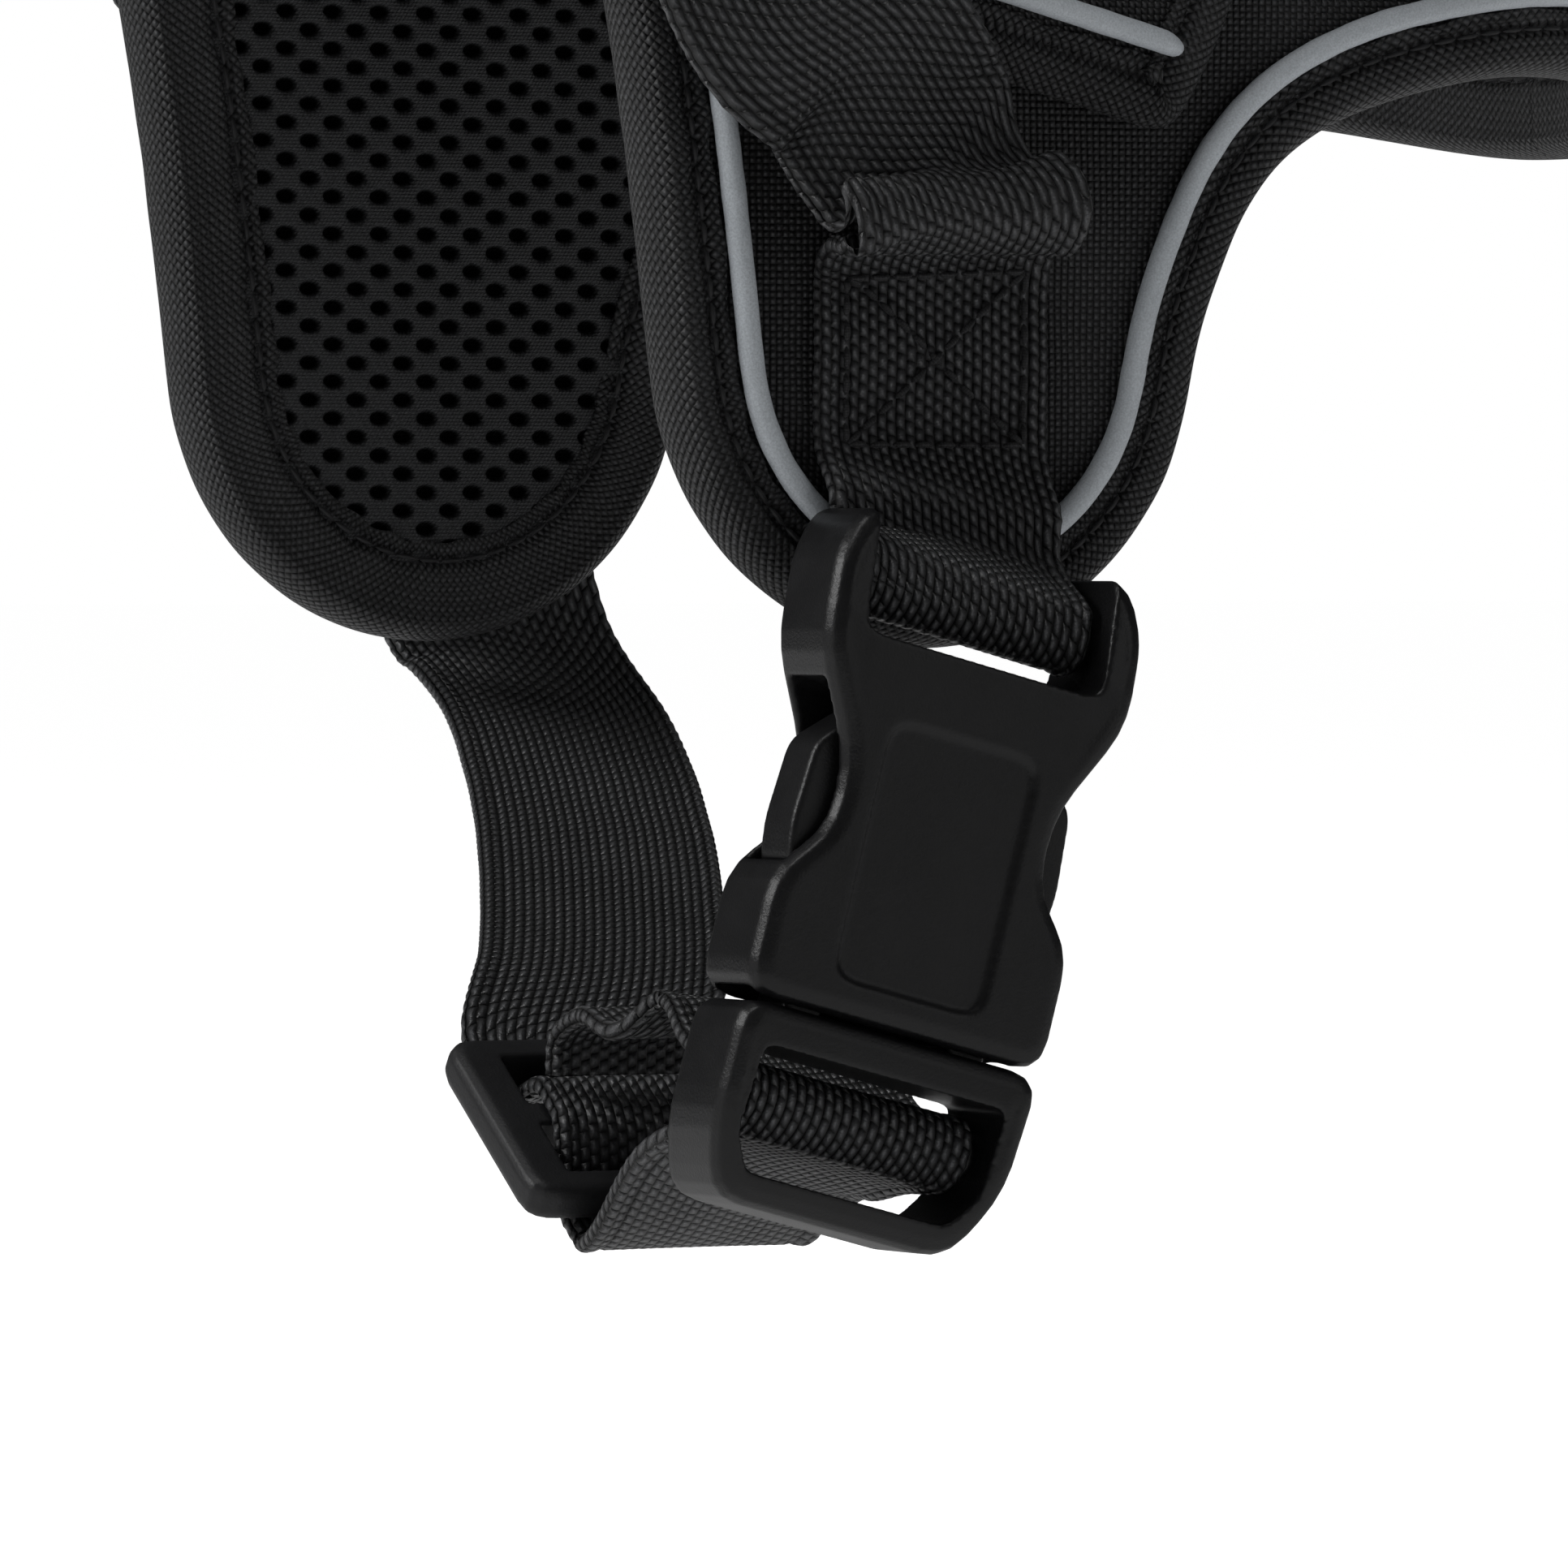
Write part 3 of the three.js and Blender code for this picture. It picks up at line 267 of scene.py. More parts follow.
# ---- node helpers -----------------------------------------------------------------------------------
class Nodes:
    """Short names for building a material's node tree."""

    def __init__(self, name):
        self.material = bpy.data.materials.new(name)
        self.material.use_nodes = True
        self.tree = self.material.node_tree
        self.shader = self.tree.nodes["Principled BSDF"]

    def put(self, socket, value):
        if hasattr(value, "node"):
            self.tree.links.new(value, socket)
        else:
            socket.default_value = value

    def math(self, operation, *values, clamp=False):
        node = self.tree.nodes.new("ShaderNodeMath")
        node.operation = operation
        node.use_clamp = clamp
        for socket, value in zip(node.inputs, values):
            self.put(socket, value)
        return node.outputs[0]

    def uv(self):
        """Flat-pattern coordinates in millimetres."""
        source = self.tree.nodes.new("ShaderNodeUVMap")
        source.uv_map = "Cloth"
        split = self.tree.nodes.new("ShaderNodeSeparateXYZ")
        self.put(split.inputs[0], source.outputs[0])
        return [self.math("MULTIPLY", split.outputs[k], 1 / MM) for k in range(2)]

    def noise(self, scale, detail=3.0, roughness=0.55):
        coordinates = self.tree.nodes.new("ShaderNodeTexCoord")
        node = self.tree.nodes.new("ShaderNodeTexNoise")
        self.put(node.inputs["Vector"], coordinates.outputs["Object"])
        self.put(node.inputs["Scale"], scale)
        self.put(node.inputs["Detail"], detail)
        self.put(node.inputs["Roughness"], roughness)
        return node.outputs["Fac"]

    def ramp(self, value, low, high, dark, light):
        node = self.tree.nodes.new("ShaderNodeValToRGB")
        self.put(node.inputs[0], value)
        node.color_ramp.elements[0].position = low
        node.color_ramp.elements[1].position = high
        node.color_ramp.elements[0].color = (*dark, 1)
        node.color_ramp.elements[1].color = (*light, 1)
        return node.outputs[0]

    def range(self, value, low, high):
        node = self.tree.nodes.new("ShaderNodeMapRange")
        for socket, given in zip(node.inputs, (value, 0.0, 1.0, low, high)):
            self.put(socket, given)
        return node.outputs[0]

    def bump(self, height, depth):
        """Bump from a height of 0 to 1 that stands for this many millimetres."""
        node = self.tree.nodes.new("ShaderNodeBump")
        self.put(node.inputs["Strength"], 1.0)
        self.put(node.inputs["Distance"], depth * MM)
        self.put(node.inputs["Height"], height)
        self.put(self.shader.inputs["Normal"], node.outputs[0])

    def finish(self, roughness, sheen=0.0, sheen_roughness=0.5, specular=0.5):
        self.put(self.shader.inputs["Roughness"], roughness)
        self.put(self.shader.inputs["Specular IOR Level"], specular)
        self.put(self.shader.inputs["Sheen Weight"], sheen)
        self.put(self.shader.inputs["Sheen Roughness"], sheen_roughness)
        return self.material


def weave_height(n, u, v, across, down):
    """A plain weave: yarns of the first size side by side, passing under the other set in turn."""
    wave_u = n.math("SINE", n.math("MULTIPLY", u, math.pi / across))
    wave_v = n.math("SINE", n.math("MULTIPLY", v, math.pi / down))
    over = n.math("GREATER_THAN", n.math("MULTIPLY", wave_u, wave_v), 0.0)
    ridge_u = n.math("ABSOLUTE", wave_u)
    ridge_v = n.math("ABSOLUTE", wave_v)

    def yarn(ridge, crossing, lowest):
        arch = n.math("ADD", n.math("MULTIPLY", crossing, 0.45), lowest)
        return n.math("MULTIPLY", n.math("POWER", ridge, 0.6), arch)

    warp, weft = yarn(ridge_u, ridge_v, 0.55), yarn(ridge_v, ridge_u, 0.25)
    return n.math("ADD", n.math("MULTIPLY", warp, over),
                  n.math("MULTIPLY", weft, n.math("SUBTRACT", 1.0, over)))


def webbing_height(n, u, v, across, down):
    """Webbing: each column is a chain of long grains, half a grain out of step with its neighbours."""
    column = n.math("FLOOR", n.math("DIVIDE", u, across))
    step = n.math("MULTIPLY", n.math("MODULO", n.math("ABSOLUTE", column), 2.0), 0.5)
    lean = n.math("MULTIPLY", n.math("FRACT", n.math("DIVIDE", u, across)), 0.22)
    turns = n.math("ADD", n.math("ADD", n.math("DIVIDE", v, down), step), lean)
    grain = n.math("ABSOLUTE", n.math("SINE", n.math("MULTIPLY", turns, math.pi)))
    ridge = n.math("ABSOLUTE", n.math("SINE", n.math("MULTIPLY", u, math.pi / across)))
    raised = n.math("ADD", n.math("MULTIPLY", n.math("POWER", grain, 0.6), 0.7), 0.3)
    return n.math("MULTIPLY", n.math("POWER", ridge, 0.55), raised)


BIAS = 0.7071  # sine and cosine of 45 degrees


def fabric(name, across, down, depth, dark, light, bias=False, roughness=0.7, pattern=weave_height):
    """Woven cloth with a yarn of the given sizes in millimetres; bias turns the weave by 45 degrees."""
    n = Nodes(name)
    u, v = n.uv()
    if bias:
        u, v = (n.math("MULTIPLY", n.math("ADD", u, v), BIAS),
                n.math("MULTIPLY", n.math("SUBTRACT", u, v), BIAS))
    height = pattern(n, u, v, across, down)
    lint = n.noise(2600.0, 2.0)
    cloud = n.noise(45.0, 3.0)
    # Painted shade: the colour follows the weave's height, darkest in the valleys between yarns and lightest on
    # their crowns; the cloud adds the cloth's own random mottle.
    tone = n.math("ADD", n.math("MULTIPLY", height, 0.72), n.math("MULTIPLY", cloud, 0.36))
    n.put(n.shader.inputs["Base Color"], n.ramp(tone, 0.42, 1.0, dark, light))
    n.bump(n.math("ADD", height, n.math("MULTIPLY", lint, 0.25)), depth)
    worn = n.range(lint, roughness - 0.12, roughness + 0.1)
    return n.finish(worn, sheen=0.03, sheen_roughness=0.45, specular=0.42)


PAINTED_VALLEY_SHADE = (0.0004, 0.0004, 0.0005)  # painted shade between yarns and in the spacer mesh's holes
HOLE_PITCH, HOLE_ROW = 5.3, 1.9  # spacer mesh: hole to hole across, and row to row
HOLE_HALF = (1.18, 0.78)  # half a hole across and down


def air_mesh():
    """Knitted spacer mesh: staggered oval holes whose dark bottoms are painted shade, fine knit between them."""
    n = Nodes("air_mesh")
    u, v = n.uv()

    def from_middle(value, pitch, half, shift):
        share = n.math("FRACT", n.math("ADD", n.math("DIVIDE", value, pitch), shift))
        return n.math("MULTIPLY", n.math("SUBTRACT", share, 0.5), pitch / half)

    def lattice(shift):
        across = from_middle(u, HOLE_PITCH, HOLE_HALF[0], shift)
        down = from_middle(v, 2 * HOLE_ROW, HOLE_HALF[1], shift)
        return n.math("ADD", n.math("MULTIPLY", across, across), n.math("MULTIPLY", down, down))

    reach = n.math("MINIMUM", lattice(0.0), lattice(0.5))
    solid = n.math("MULTIPLY", n.math("SUBTRACT", reach, 0.55), 1.6, clamp=True)
    knit = weave_height(n, n.math("ADD", u, n.math("MULTIPLY", v, 0.6)), v, 0.42, 0.36)
    lint = n.noise(2400.0, 2.0)
    yarns = n.math("ADD", n.math("MULTIPLY", knit, 0.7), n.math("MULTIPLY", lint, 0.5))
    # Painted shade: the holes and the valleys between the knit's yarns go dark, the knit's crowns lighter.
    tone = n.math("MULTIPLY", yarns, solid)
    n.put(n.shader.inputs["Base Color"], n.ramp(tone, 0.0, 1.0, PAINTED_VALLEY_SHADE, (0.046, 0.047, 0.050)))
    n.bump(n.math("ADD", n.math("MULTIPLY", solid, 0.4), n.math("MULTIPLY", knit, 0.6)), 0.3)
    return n.finish(n.range(lint, 0.42, 0.66), sheen=0.02, specular=n.math("MULTIPLY", solid, 0.4))


def reflective_tape():
    n = Nodes("reflective")
    beads = n.noise(5200.0, 1.0)
    soil = n.noise(60.0, 4.0)
    tone = n.math("ADD", n.math("MULTIPLY", beads, 0.7), n.math("MULTIPLY", soil, 0.4))
    n.put(n.shader.inputs["Base Color"], n.ramp(tone, 0.3, 0.85, (0.38, 0.41, 0.44), (0.66, 0.70, 0.74)))
    n.bump(beads, 0.04)
    return n.finish(n.range(beads, 0.42, 0.62), specular=0.6)


def moulded(name, dark, light, roughness):
    """Matte moulded plastic with a fine spark texture and faint rub marks."""
    n = Nodes(name)
    grain = n.noise(3600.0, 2.0)
    rub = n.noise(120.0, 5.0, 0.7)
    n.put(n.shader.inputs["Base Color"], n.ramp(rub, 0.3, 0.8, dark, light))
    n.bump(grain, 0.035)
    return n.finish(n.range(rub, roughness - 0.04, roughness + 0.08), specular=0.3)


def steel():
    n = Nodes("steel")
    brushed = n.noise(900.0, 4.0)
    n.put(n.shader.inputs["Base Color"], n.ramp(brushed, 0.3, 0.8, (0.46, 0.46, 0.47), (0.62, 0.62, 0.63)))
    n.put(n.shader.inputs["Metallic"], 1.0)
    n.bump(brushed, 0.02)
    return n.finish(n.range(brushed, 0.24, 0.36))


OXFORD = fabric("oxford", 0.70, 0.64, 0.7, PAINTED_VALLEY_SHADE, (0.075, 0.076, 0.080), roughness=0.52)
BINDING = fabric("binding", 0.76, 0.70, 0.6, (0.0005, 0.0005, 0.0006), (0.060, 0.061, 0.065),
                 bias=True, roughness=0.56)
WEBBING = fabric("webbing", COLUMN, 1.45, 1.3, PAINTED_VALLEY_SHADE, (0.10, 0.102, 0.107), roughness=0.42,
                 pattern=webbing_height)
AIR_MESH = air_mesh()
REFLECTIVE = reflective_tape()
PLASTIC = moulded("acetal", (0.004, 0.004, 0.0045), (0.008, 0.008, 0.0085), 0.36)
SLIDER_PLASTIC = moulded("acetal_slider", (0.012, 0.012, 0.013), (0.019, 0.019, 0.020), 0.45)
STEEL = steel()
THREAD = fabric("thread", 0.3, 0.3, 0.05, (0.006, 0.006, 0.007), (0.03, 0.03, 0.032), roughness=0.6)

# ---- panels -----------------------------------------------------------------------------------------
def edge_at(edge, s):
    """The x of a smooth edge where it reaches this s."""
    p = soften(edge)
    return np.interp(s, p[:, 1], p[:, 0])


def height_at(edge, x):
    """The s of a smooth edge where it reaches this x."""
    p = soften(edge)
    return np.interp(x, p[:, 0], p[:, 1])


def lobe_outline():
    """Rear edge, round end and front of the near lobe as one path from the back's middle."""
    turn = np.linspace(math.pi, 0, 40)[1:-1]
    round_x, round_s = LOBE_CENTRE_X + LOBE_HALF_WIDTH * np.cos(turn), ROUND_S + TIP_RADIUS * np.sin(turn)
    round_end = np.stack([round_x, round_s], -1)
    return soften(REAR_EDGE), round_end, soften(LOBE_FRONT + ARCH_EDGE)


REAR_PATH, ROUND_PATH, FRONT_PATH = lobe_outline()


def relax(path, reach=11):
    """Averages a path's neighbouring points so that no corner shows; the ends stay where they are."""
    before, after = 2 * path[0] - path[reach:0:-1], 2 * path[-1] - path[-2:-reach - 2:-1]
    long = np.vstack([before, path, after])
    window = np.hanning(2 * reach + 3)[1:-1]
    window = window / window.sum()
    return np.stack([np.convolve(long[:, k], window, mode="valid") for k in range(2)], -1)


OUTER_PATH = relax(even(np.vstack([REAR_PATH, ROUND_PATH, FRONT_PATH]), PATH_STEP))
NECK_PATH = even(soften(NECK_EDGE + BAND_TOP), PATH_STEP)


def pad_map(x, s):
    """Distance of flat-pattern points from the pad's finished edge, in millimetres."""
    rim = np.vstack([OUTER_PATH[::2], NECK_PATH[::2]])
    flat_x, flat_s = np.ravel(x), np.abs(np.ravel(s))
    best = np.full(flat_x.shape, 1e9)
    for part in np.array_split(rim, 12):
        gap = np.hypot(flat_x[:, None] - part[None, :, 0], flat_s[:, None] - part[None, :, 1]).min(axis=1)
        best = np.minimum(best, gap)
    return best.reshape(np.shape(x))


def crown(gap, x, s):
    """How far a padded face swells where it is this far in from the edge."""
    body = 1 - np.exp(-np.maximum(gap - 4, 0) / 5.0)
    wrinkle = 0.22 * noise(x * 0.16, s * 0.16, seed=2) + 0.12 * noise(x * 0.5, s * 0.5, seed=5)
    ripple = np.sin(gap * 0.6 + 1.2 * noise(x * 0.4, s * 0.4, seed=7))
    pucker = 0.16 * ripple * np.exp(-np.maximum(gap - 5, 0) / 5.0)
    return body * (0.55 + wrinkle) + pucker


EDGE = 2.2  # panels stop this far inside the finished edge
SEAM_S = 60  # seam between the back and a lobe
CHEST_SEAM_X, CHEST_SEAM_S = (50, 39.5), (77, 127.3)  # seam between a lobe and the breast, top and bottom


def panel_grid(kind, side):
    """Flat-pattern grids of one panel: back, lobe (by side) or breast."""
    if kind == "back":
        s = np.linspace(-SEAM_S, SEAM_S, 150)[:, None] + np.zeros((1, 110))
        a = np.abs(s)
        x0, x1 = edge_at(REAR_EDGE, a) + EDGE, edge_at(NECK_EDGE, a) - EDGE
    elif kind == "lobe":
        # Rows close up near the round end so that the edge stays round.
        share = np.sin(np.linspace(0, math.pi / 2, 170))[:, None] + np.zeros((1, 110))
        a = SEAM_S + (TIP_S - EDGE - 0.02 - SEAM_S) * share
        reach = np.clip((a - ROUND_S) / (TIP_RADIUS - EDGE), 0, 1)
        half = (LOBE_HALF_WIDTH - EDGE) * np.sqrt(1 - reach ** 2)
        x0 = np.where(a < ROUND_S, edge_at(REAR_EDGE, a) + EDGE, LOBE_CENTRE_X - half)
        start, end = CHEST_SEAM_S
        neck = edge_at(NECK_EDGE, a) - EDGE * np.clip((start - a) / 4, 0, 1)
        seam = np.interp(a, CHEST_SEAM_S, CHEST_SEAM_X)
        front = np.interp(a, *front_table()) - EDGE * np.clip((a - end) / 6, 0, 1)
        x1 = np.where(a < start, neck, np.where(a < end, seam, front))
        x1 = np.where(a > ROUND_S, LOBE_CENTRE_X + half, x1)
        s = a * side
    else:
        # The breast panel runs from one seam with a lobe to the other, across the chest's middle.
        across = np.linspace(0, 1, 230)[None, :] + np.zeros((60, 1))
        down = np.linspace(0, 1, 60)[:, None]
        start, end = CHEST_SEAM_X
        seam_x = start + (end - start) * down
        x = seam_x + (2 * BREAST_X - 2 * seam_x) * across
        mirrored = np.minimum(x, 2 * BREAST_X - x)
        top = height_at([(start, 76.8)] + BAND_TOP, mirrored) + EDGE
        bottom = height_at([(end, CHEST_SEAM_S[1])] + ARCH_EDGE, mirrored) - EDGE
        return x, -(top + (bottom - top) * down)
    share = np.linspace(0, 1, s.shape[1])[None, :]
    return x0 + (x1 - x0) * share, s


def front_table():
    """The lobe's front edge as increasing s and x, for interpolation."""
    p = soften(LOBE_FRONT)[::-1]
    return p[:, 1], p[:, 0]


def pattern_gap(x, s):
    """Distance from the edge for a point anywhere, folding the far half of the breast onto the near half."""
    return pad_map(np.minimum(x, 2 * BREAST_X - x), s)


def hole_depth(x, s):
    """1 in the middle of a hole of the spacer mesh, 0 on the knit between the holes."""
    depth = 0
    for shift in (0.0, 0.5):
        across = ((x / HOLE_PITCH + shift) % 1 - 0.5) * HOLE_PITCH / HOLE_HALF[0]
        down = ((s / (2 * HOLE_ROW) + shift) % 1 - 0.5) * 2 * HOLE_ROW / HOLE_HALF[1]
        depth = np.maximum(depth, np.clip(1.25 - across ** 2 - down ** 2, 0, 1))
    return depth


def finer(grid, factor):
    """The same surface grid with this many times the rows and columns."""
    rows, cols = grid.shape
    down = np.linspace(0, rows - 1, int(rows * factor))
    over = np.linspace(0, cols - 1, int(cols * factor))
    tall = np.stack([np.interp(down, np.arange(rows), grid[:, k]) for k in range(cols)], 1)
    return np.stack([np.interp(over, np.arange(cols), row) for row in tall])


def padded_panel(kind, side, tag):
    x, s = panel_grid(kind, side)
    gap = pattern_gap(x, s)
    outer = drape(x, s, PAD_THICKNESS - 0.4 + crown(gap, x, s))
    middle = drape(x, s, 2.0 + 0 * x)
    uvs = np.stack([x, s], -1)
    cover = shell(f"{tag}_cover_cloth", outer, middle, uvs, OXFORD)
    factor = 2.0 if kind == "lobe" else 1.5
    x, s, gap = finer(x, factor), finer(s, factor), finer(gap, factor)
    swell = 0.45 * (1 - np.exp(-np.maximum(gap - 4, 0) / 6)) + 0.12 * noise(x * 0.2, s * 0.2, seed=9)
    inner = drape(x, s, 0.15 - swell + 1.15 * hole_depth(x, s))
    lining = shell(f"{tag}_lining_mesh", drape(x, s, 1.95), inner, np.stack([x, s], -1), AIR_MESH)
    place(cover, "vest", "oxford", f"{tag}_cover", f"{tag}_foam")
    place(lining, "vest", "air_mesh", f"{tag}_lining")


padded_panel("back", 1, "back")
padded_panel("lobe", -1, "near_lobe")
padded_panel("lobe", 1, "far_lobe")
padded_panel("breast", 1, "breast")


# ---- bindings and pipings --------------------------------------------------------------------------
def path_normals(path):
    """Unit directions across a flat path, towards the pad."""
    ahead = unit(np.gradient(path, axis=0))
    return np.stack([ahead[:, 1], -ahead[:, 0]], -1)


STITCH = 2.6  # needle step along a binding


def binding(name, path, side, inward, bottom, top, width_out, width_in, node):
    """A strip folded round an edge: its section runs from the inner face, round the edge, to the outer face.

    inward is 1 or -1, whichever turns the path's normals towards the pad. bottom and top are its two faces.
    """
    normals = path_normals(path) * inward
    distance = np.concatenate([[0], np.cumsum(np.linalg.norm(np.diff(path, axis=0), axis=1))])
    half = (top - bottom) / 2
    section = []  # (distance in from the edge, height above the pad's inner face, share of pucker)
    for t in np.linspace(0, 1, 16):
        lift = 0.22 * (1 - math.sin(math.pi * min(1, t * 1.2)))
        section.append((width_in * (1 - t) + EDGE * t, bottom + lift, 1 - t))
    for a in np.linspace(-math.pi / 2, math.pi / 2, 15)[1:-1]:
        section.append((EDGE - 2.6 * math.cos(a), bottom + half + half * math.sin(a), 0))
    for t in np.linspace(0, 1, 16):
        section.append((width_out * t + EDGE * (1 - t), top, t))
    section = np.array(section)
    rings = []
    for k, (inset, n, share) in enumerate(section):
        tug = share * 0.55 * noise(distance * 0.55, 0.3 * k, seed=4)
        hem = (width_out if n > bottom + half else width_in) - 1.9
        groove = -0.75 * math.exp(-((inset - hem) / 0.55) ** 2)
        outward = 1.0 if n > bottom + half else -1.0
        x = path[:, 0] + normals[:, 0] * (inset + tug * 0.7)
        s = path[:, 1] + normals[:, 1] * (inset + tug * 0.7)
        swell = (0.1 + 0.2 * share) * noise(distance * 0.42, 0.16 * k, seed=6)
        rings.append((x, s, n + outward * (swell + groove + 0.1 * tug)))
    grid = np.stack([drape(x, s * side, n) for x, s, n in rings], axis=1)
    length = np.concatenate([[0], np.cumsum(np.hypot(*np.diff(section[:, :2], axis=0).T))])
    uvs = np.stack(np.broadcast_arrays(distance[:, None], length[None]), -1)
    # The strip's own thickness: an inner layer under the outer one.
    ahead = np.gradient(grid, axis=0)
    around = np.gradient(grid, axis=1)
    facing = unit(np.cross(ahead, around))
    centre = drape(path[:, 0] + normals[:, 0] * 5, (path[:, 1] + normals[:, 1] * 5) * side, bottom + half)
    if ((grid - centre[:, None]) * facing).sum() < 0:
        facing = -facing
    place(shell(name, grid, grid - 0.7 * facing, uvs, BINDING), "vest", "binding", node)


for label, side in (("near", -1), ("far", 1)):
    binding(f"{label}_edge_strip", OUTER_PATH, side, 1, -0.55, BINDING_TOP, 6.2, 9.8, f"{label}_edge_binding")
    binding(f"{label}_neck_strip", NECK_PATH, side, -1, -0.55, BINDING_TOP, 6.2, 9.0, f"{label}_neck_binding")


def hem_stitches(name, path, side, inward, inset, n):
    """A row of lock stitches along a binding, this far in from the edge."""
    line = even(inset_path(path, inward, inset), 0.5)
    gone = np.concatenate([[0], np.cumsum(np.linalg.norm(np.diff(line, axis=0), axis=1))])
    share, turn = np.linspace(0, 1, 6), np.linspace(0, 2 * math.pi, 7)[:-1]
    starts = np.arange(0.5, gone[-1] - STITCH, STITCH)
    at = starts[:, None] + 0.88 * STITCH * share[None, :]
    x, s = np.interp(at, gone, line[:, 0]), np.interp(at, gone, line[:, 1]) * side
    lift = n + np.sign(n - 3) * 0.22 * np.sin(math.pi * share)[None, :]
    centre, above = drape(x, s, lift), drape(x, s, lift + 1)
    up = unit(above - centre)
    across = np.cross(unit(np.gradient(centre, axis=1)), up)
    radius = 0.27 * np.sqrt(np.clip(1 - (2 * share - 1) ** 4, 0.05, 1))[None, :, None, None]
    around = np.cos(turn)[:, None] * up[:, :, None] + np.sin(turn)[:, None] * across[:, :, None]
    rings = centre[:, :, None] + radius * around
    count = len(share) * len(turn)
    quads = np.vstack([grid_quads(len(share), len(turn), k * count, wrap=True) for k in range(len(starts))])
    uvs = np.broadcast_to(np.stack([at, at * 0], -1)[:, :, None], (*rings.shape[:3], 2)).reshape(-1, 2)
    place(make_object(name, rings.reshape(-1, 3), quads.tolist(), uvs, THREAD), "vest", "binding")


def inset_path(path, inward, inset):
    return path + path_normals(path) * inward * inset


def piping(name, path, side, n, radius, node, tucked=0.0):
    """A round reflective cord; tucked ends dip by this much under what crosses them."""
    walked = np.concatenate([[0], np.cumsum(np.linalg.norm(np.diff(path, axis=0), axis=1))])
    tuck = np.clip(1 - np.minimum(walked, walked[-1] - walked) / 4, 0, 1) ** 2
    centre = drape(path[:, 0], path[:, 1] * side, n - tucked * tuck)
    ahead = unit(np.gradient(centre, axis=0))
    outward = unit(drape(path[:, 0], path[:, 1] * side, n + 1 - tucked * tuck) - centre)
    across = np.cross(ahead, outward)
    distance = np.concatenate([[0], np.cumsum(np.linalg.norm(np.diff(centre, axis=0), axis=1))])
    turn = np.linspace(0, 2 * math.pi, 20, endpoint=False)
    flat = radius * (1 + 0.03 * noise(distance * 0.8, seed=3))[:, None, None]
    around = np.cos(turn)[None, :, None] * outward[:, None] + np.sin(turn)[None, :, None] * across[:, None]
    rings = centre[:, None] + flat * around
    uvs = np.stack(np.broadcast_arrays(distance[:, None], turn[None] * radius), -1)
    place(tube(name, rings, uvs, REFLECTIVE), "vest", "reflective", node)


for label, side in (("near", -1), ("far", 1)):
    hem_stitches(f"{label}_edge_hem_inner", OUTER_PATH, side, 1, 7.9, -0.35)
    hem_stitches(f"{label}_edge_hem_outer", OUTER_PATH, side, 1, 4.3, PAD_THICKNESS + 0.25)
    hem_stitches(f"{label}_neck_hem_inner", NECK_PATH, side, -1, 7.1, -0.35)
    hem_stitches(f"{label}_neck_hem_outer", NECK_PATH, side, -1, 4.3, PAD_THICKNESS + 0.25)
    cord_line = even(inset_path(OUTER_PATH, 1, PIPING_INSET), PATH_STEP)
    piping(f"{label}_edge_cord", cord_line, side, 8.25, PIPING_RADIUS, f"{label}_edge_piping")


# ---- saddle -----------------------------------------------------------------------------------------
SADDLE_CORNER = (-20.0, along(78.0))
SADDLE_SLOPE = 0.27
SADDLE_END_X = 25.2  # front end of the lower edge


def saddle_rear(s):
    return edge_at(REAR_EDGE, s) + 11


def saddle_lower(x):
    return SADDLE_CORNER[1] + SADDLE_SLOPE * (x - SADDLE_CORNER[0])


SADDLE_FRONT = [(35, 0), (35, 104), (30.5, 116), (SADDLE_END_X, saddle_lower(SADDLE_END_X))]


def saddle_panel():
    share = np.linspace(0, 1, 90)[None, :]
    rows = np.linspace(-1, 1, 300)[:, None]
    x0, x1 = SADDLE_CORNER[0], SADDLE_END_X
    end = saddle_lower(x0 + (x1 - x0) * share) - 1.5
    s = rows * end
    a = np.abs(s)
    front = np.interp(a, [0, 104, 116, 125], [35, 35, 30.5, SADDLE_END_X]) - 1.5
    rear = saddle_rear(np.minimum(a, SADDLE_CORNER[1])) + 1.5
    x = rear + (front - rear) * share
    gap = np.minimum(np.minimum(x - rear, front - x), end - a) + 1.5
    outer = drape(x, s, SADDLE_TOP - 0.45 + 0.6 * crown(gap, x, s))
    inner = drape(x, s, BINDING_TOP + 0.1)
    obj = shell("saddle_cloth", outer, inner, np.stack([x, s], -1), OXFORD)
    place(obj, "vest", "oxford", "saddle_cover", "saddle_pad")


saddle_panel()
rear_s = np.linspace(0, SADDLE_CORNER[1], 60)
SADDLE_PATH = relax(even(np.vstack([
    np.stack([saddle_rear(rear_s), rear_s], -1),
    soften([SADDLE_CORNER, (0, saddle_lower(0)), SADDLE_FRONT[-1]])[1:-1],
    soften(SADDLE_FRONT[::-1]),
]), PATH_STEP), 5)
LOWER_LINE = even(np.array([(x, saddle_lower(x) - 8.0) for x in np.linspace(-17.5, 26.5, 30)]), PATH_STEP)
for label, side in (("near", -1), ("far", 1)):
    binding(f"{label}_saddle_strip", SADDLE_PATH, side, 1, BINDING_TOP + 0.1, SADDLE_TOP + 0.4, 6.0, 3.0,
            f"{label}_saddle_binding")
    piping(f"{label}_saddle_cord", LOWER_LINE, side, SADDLE_TOP + 1.3, PIPING_RADIUS, f"{label}_saddle_piping",
           tucked=2.6)


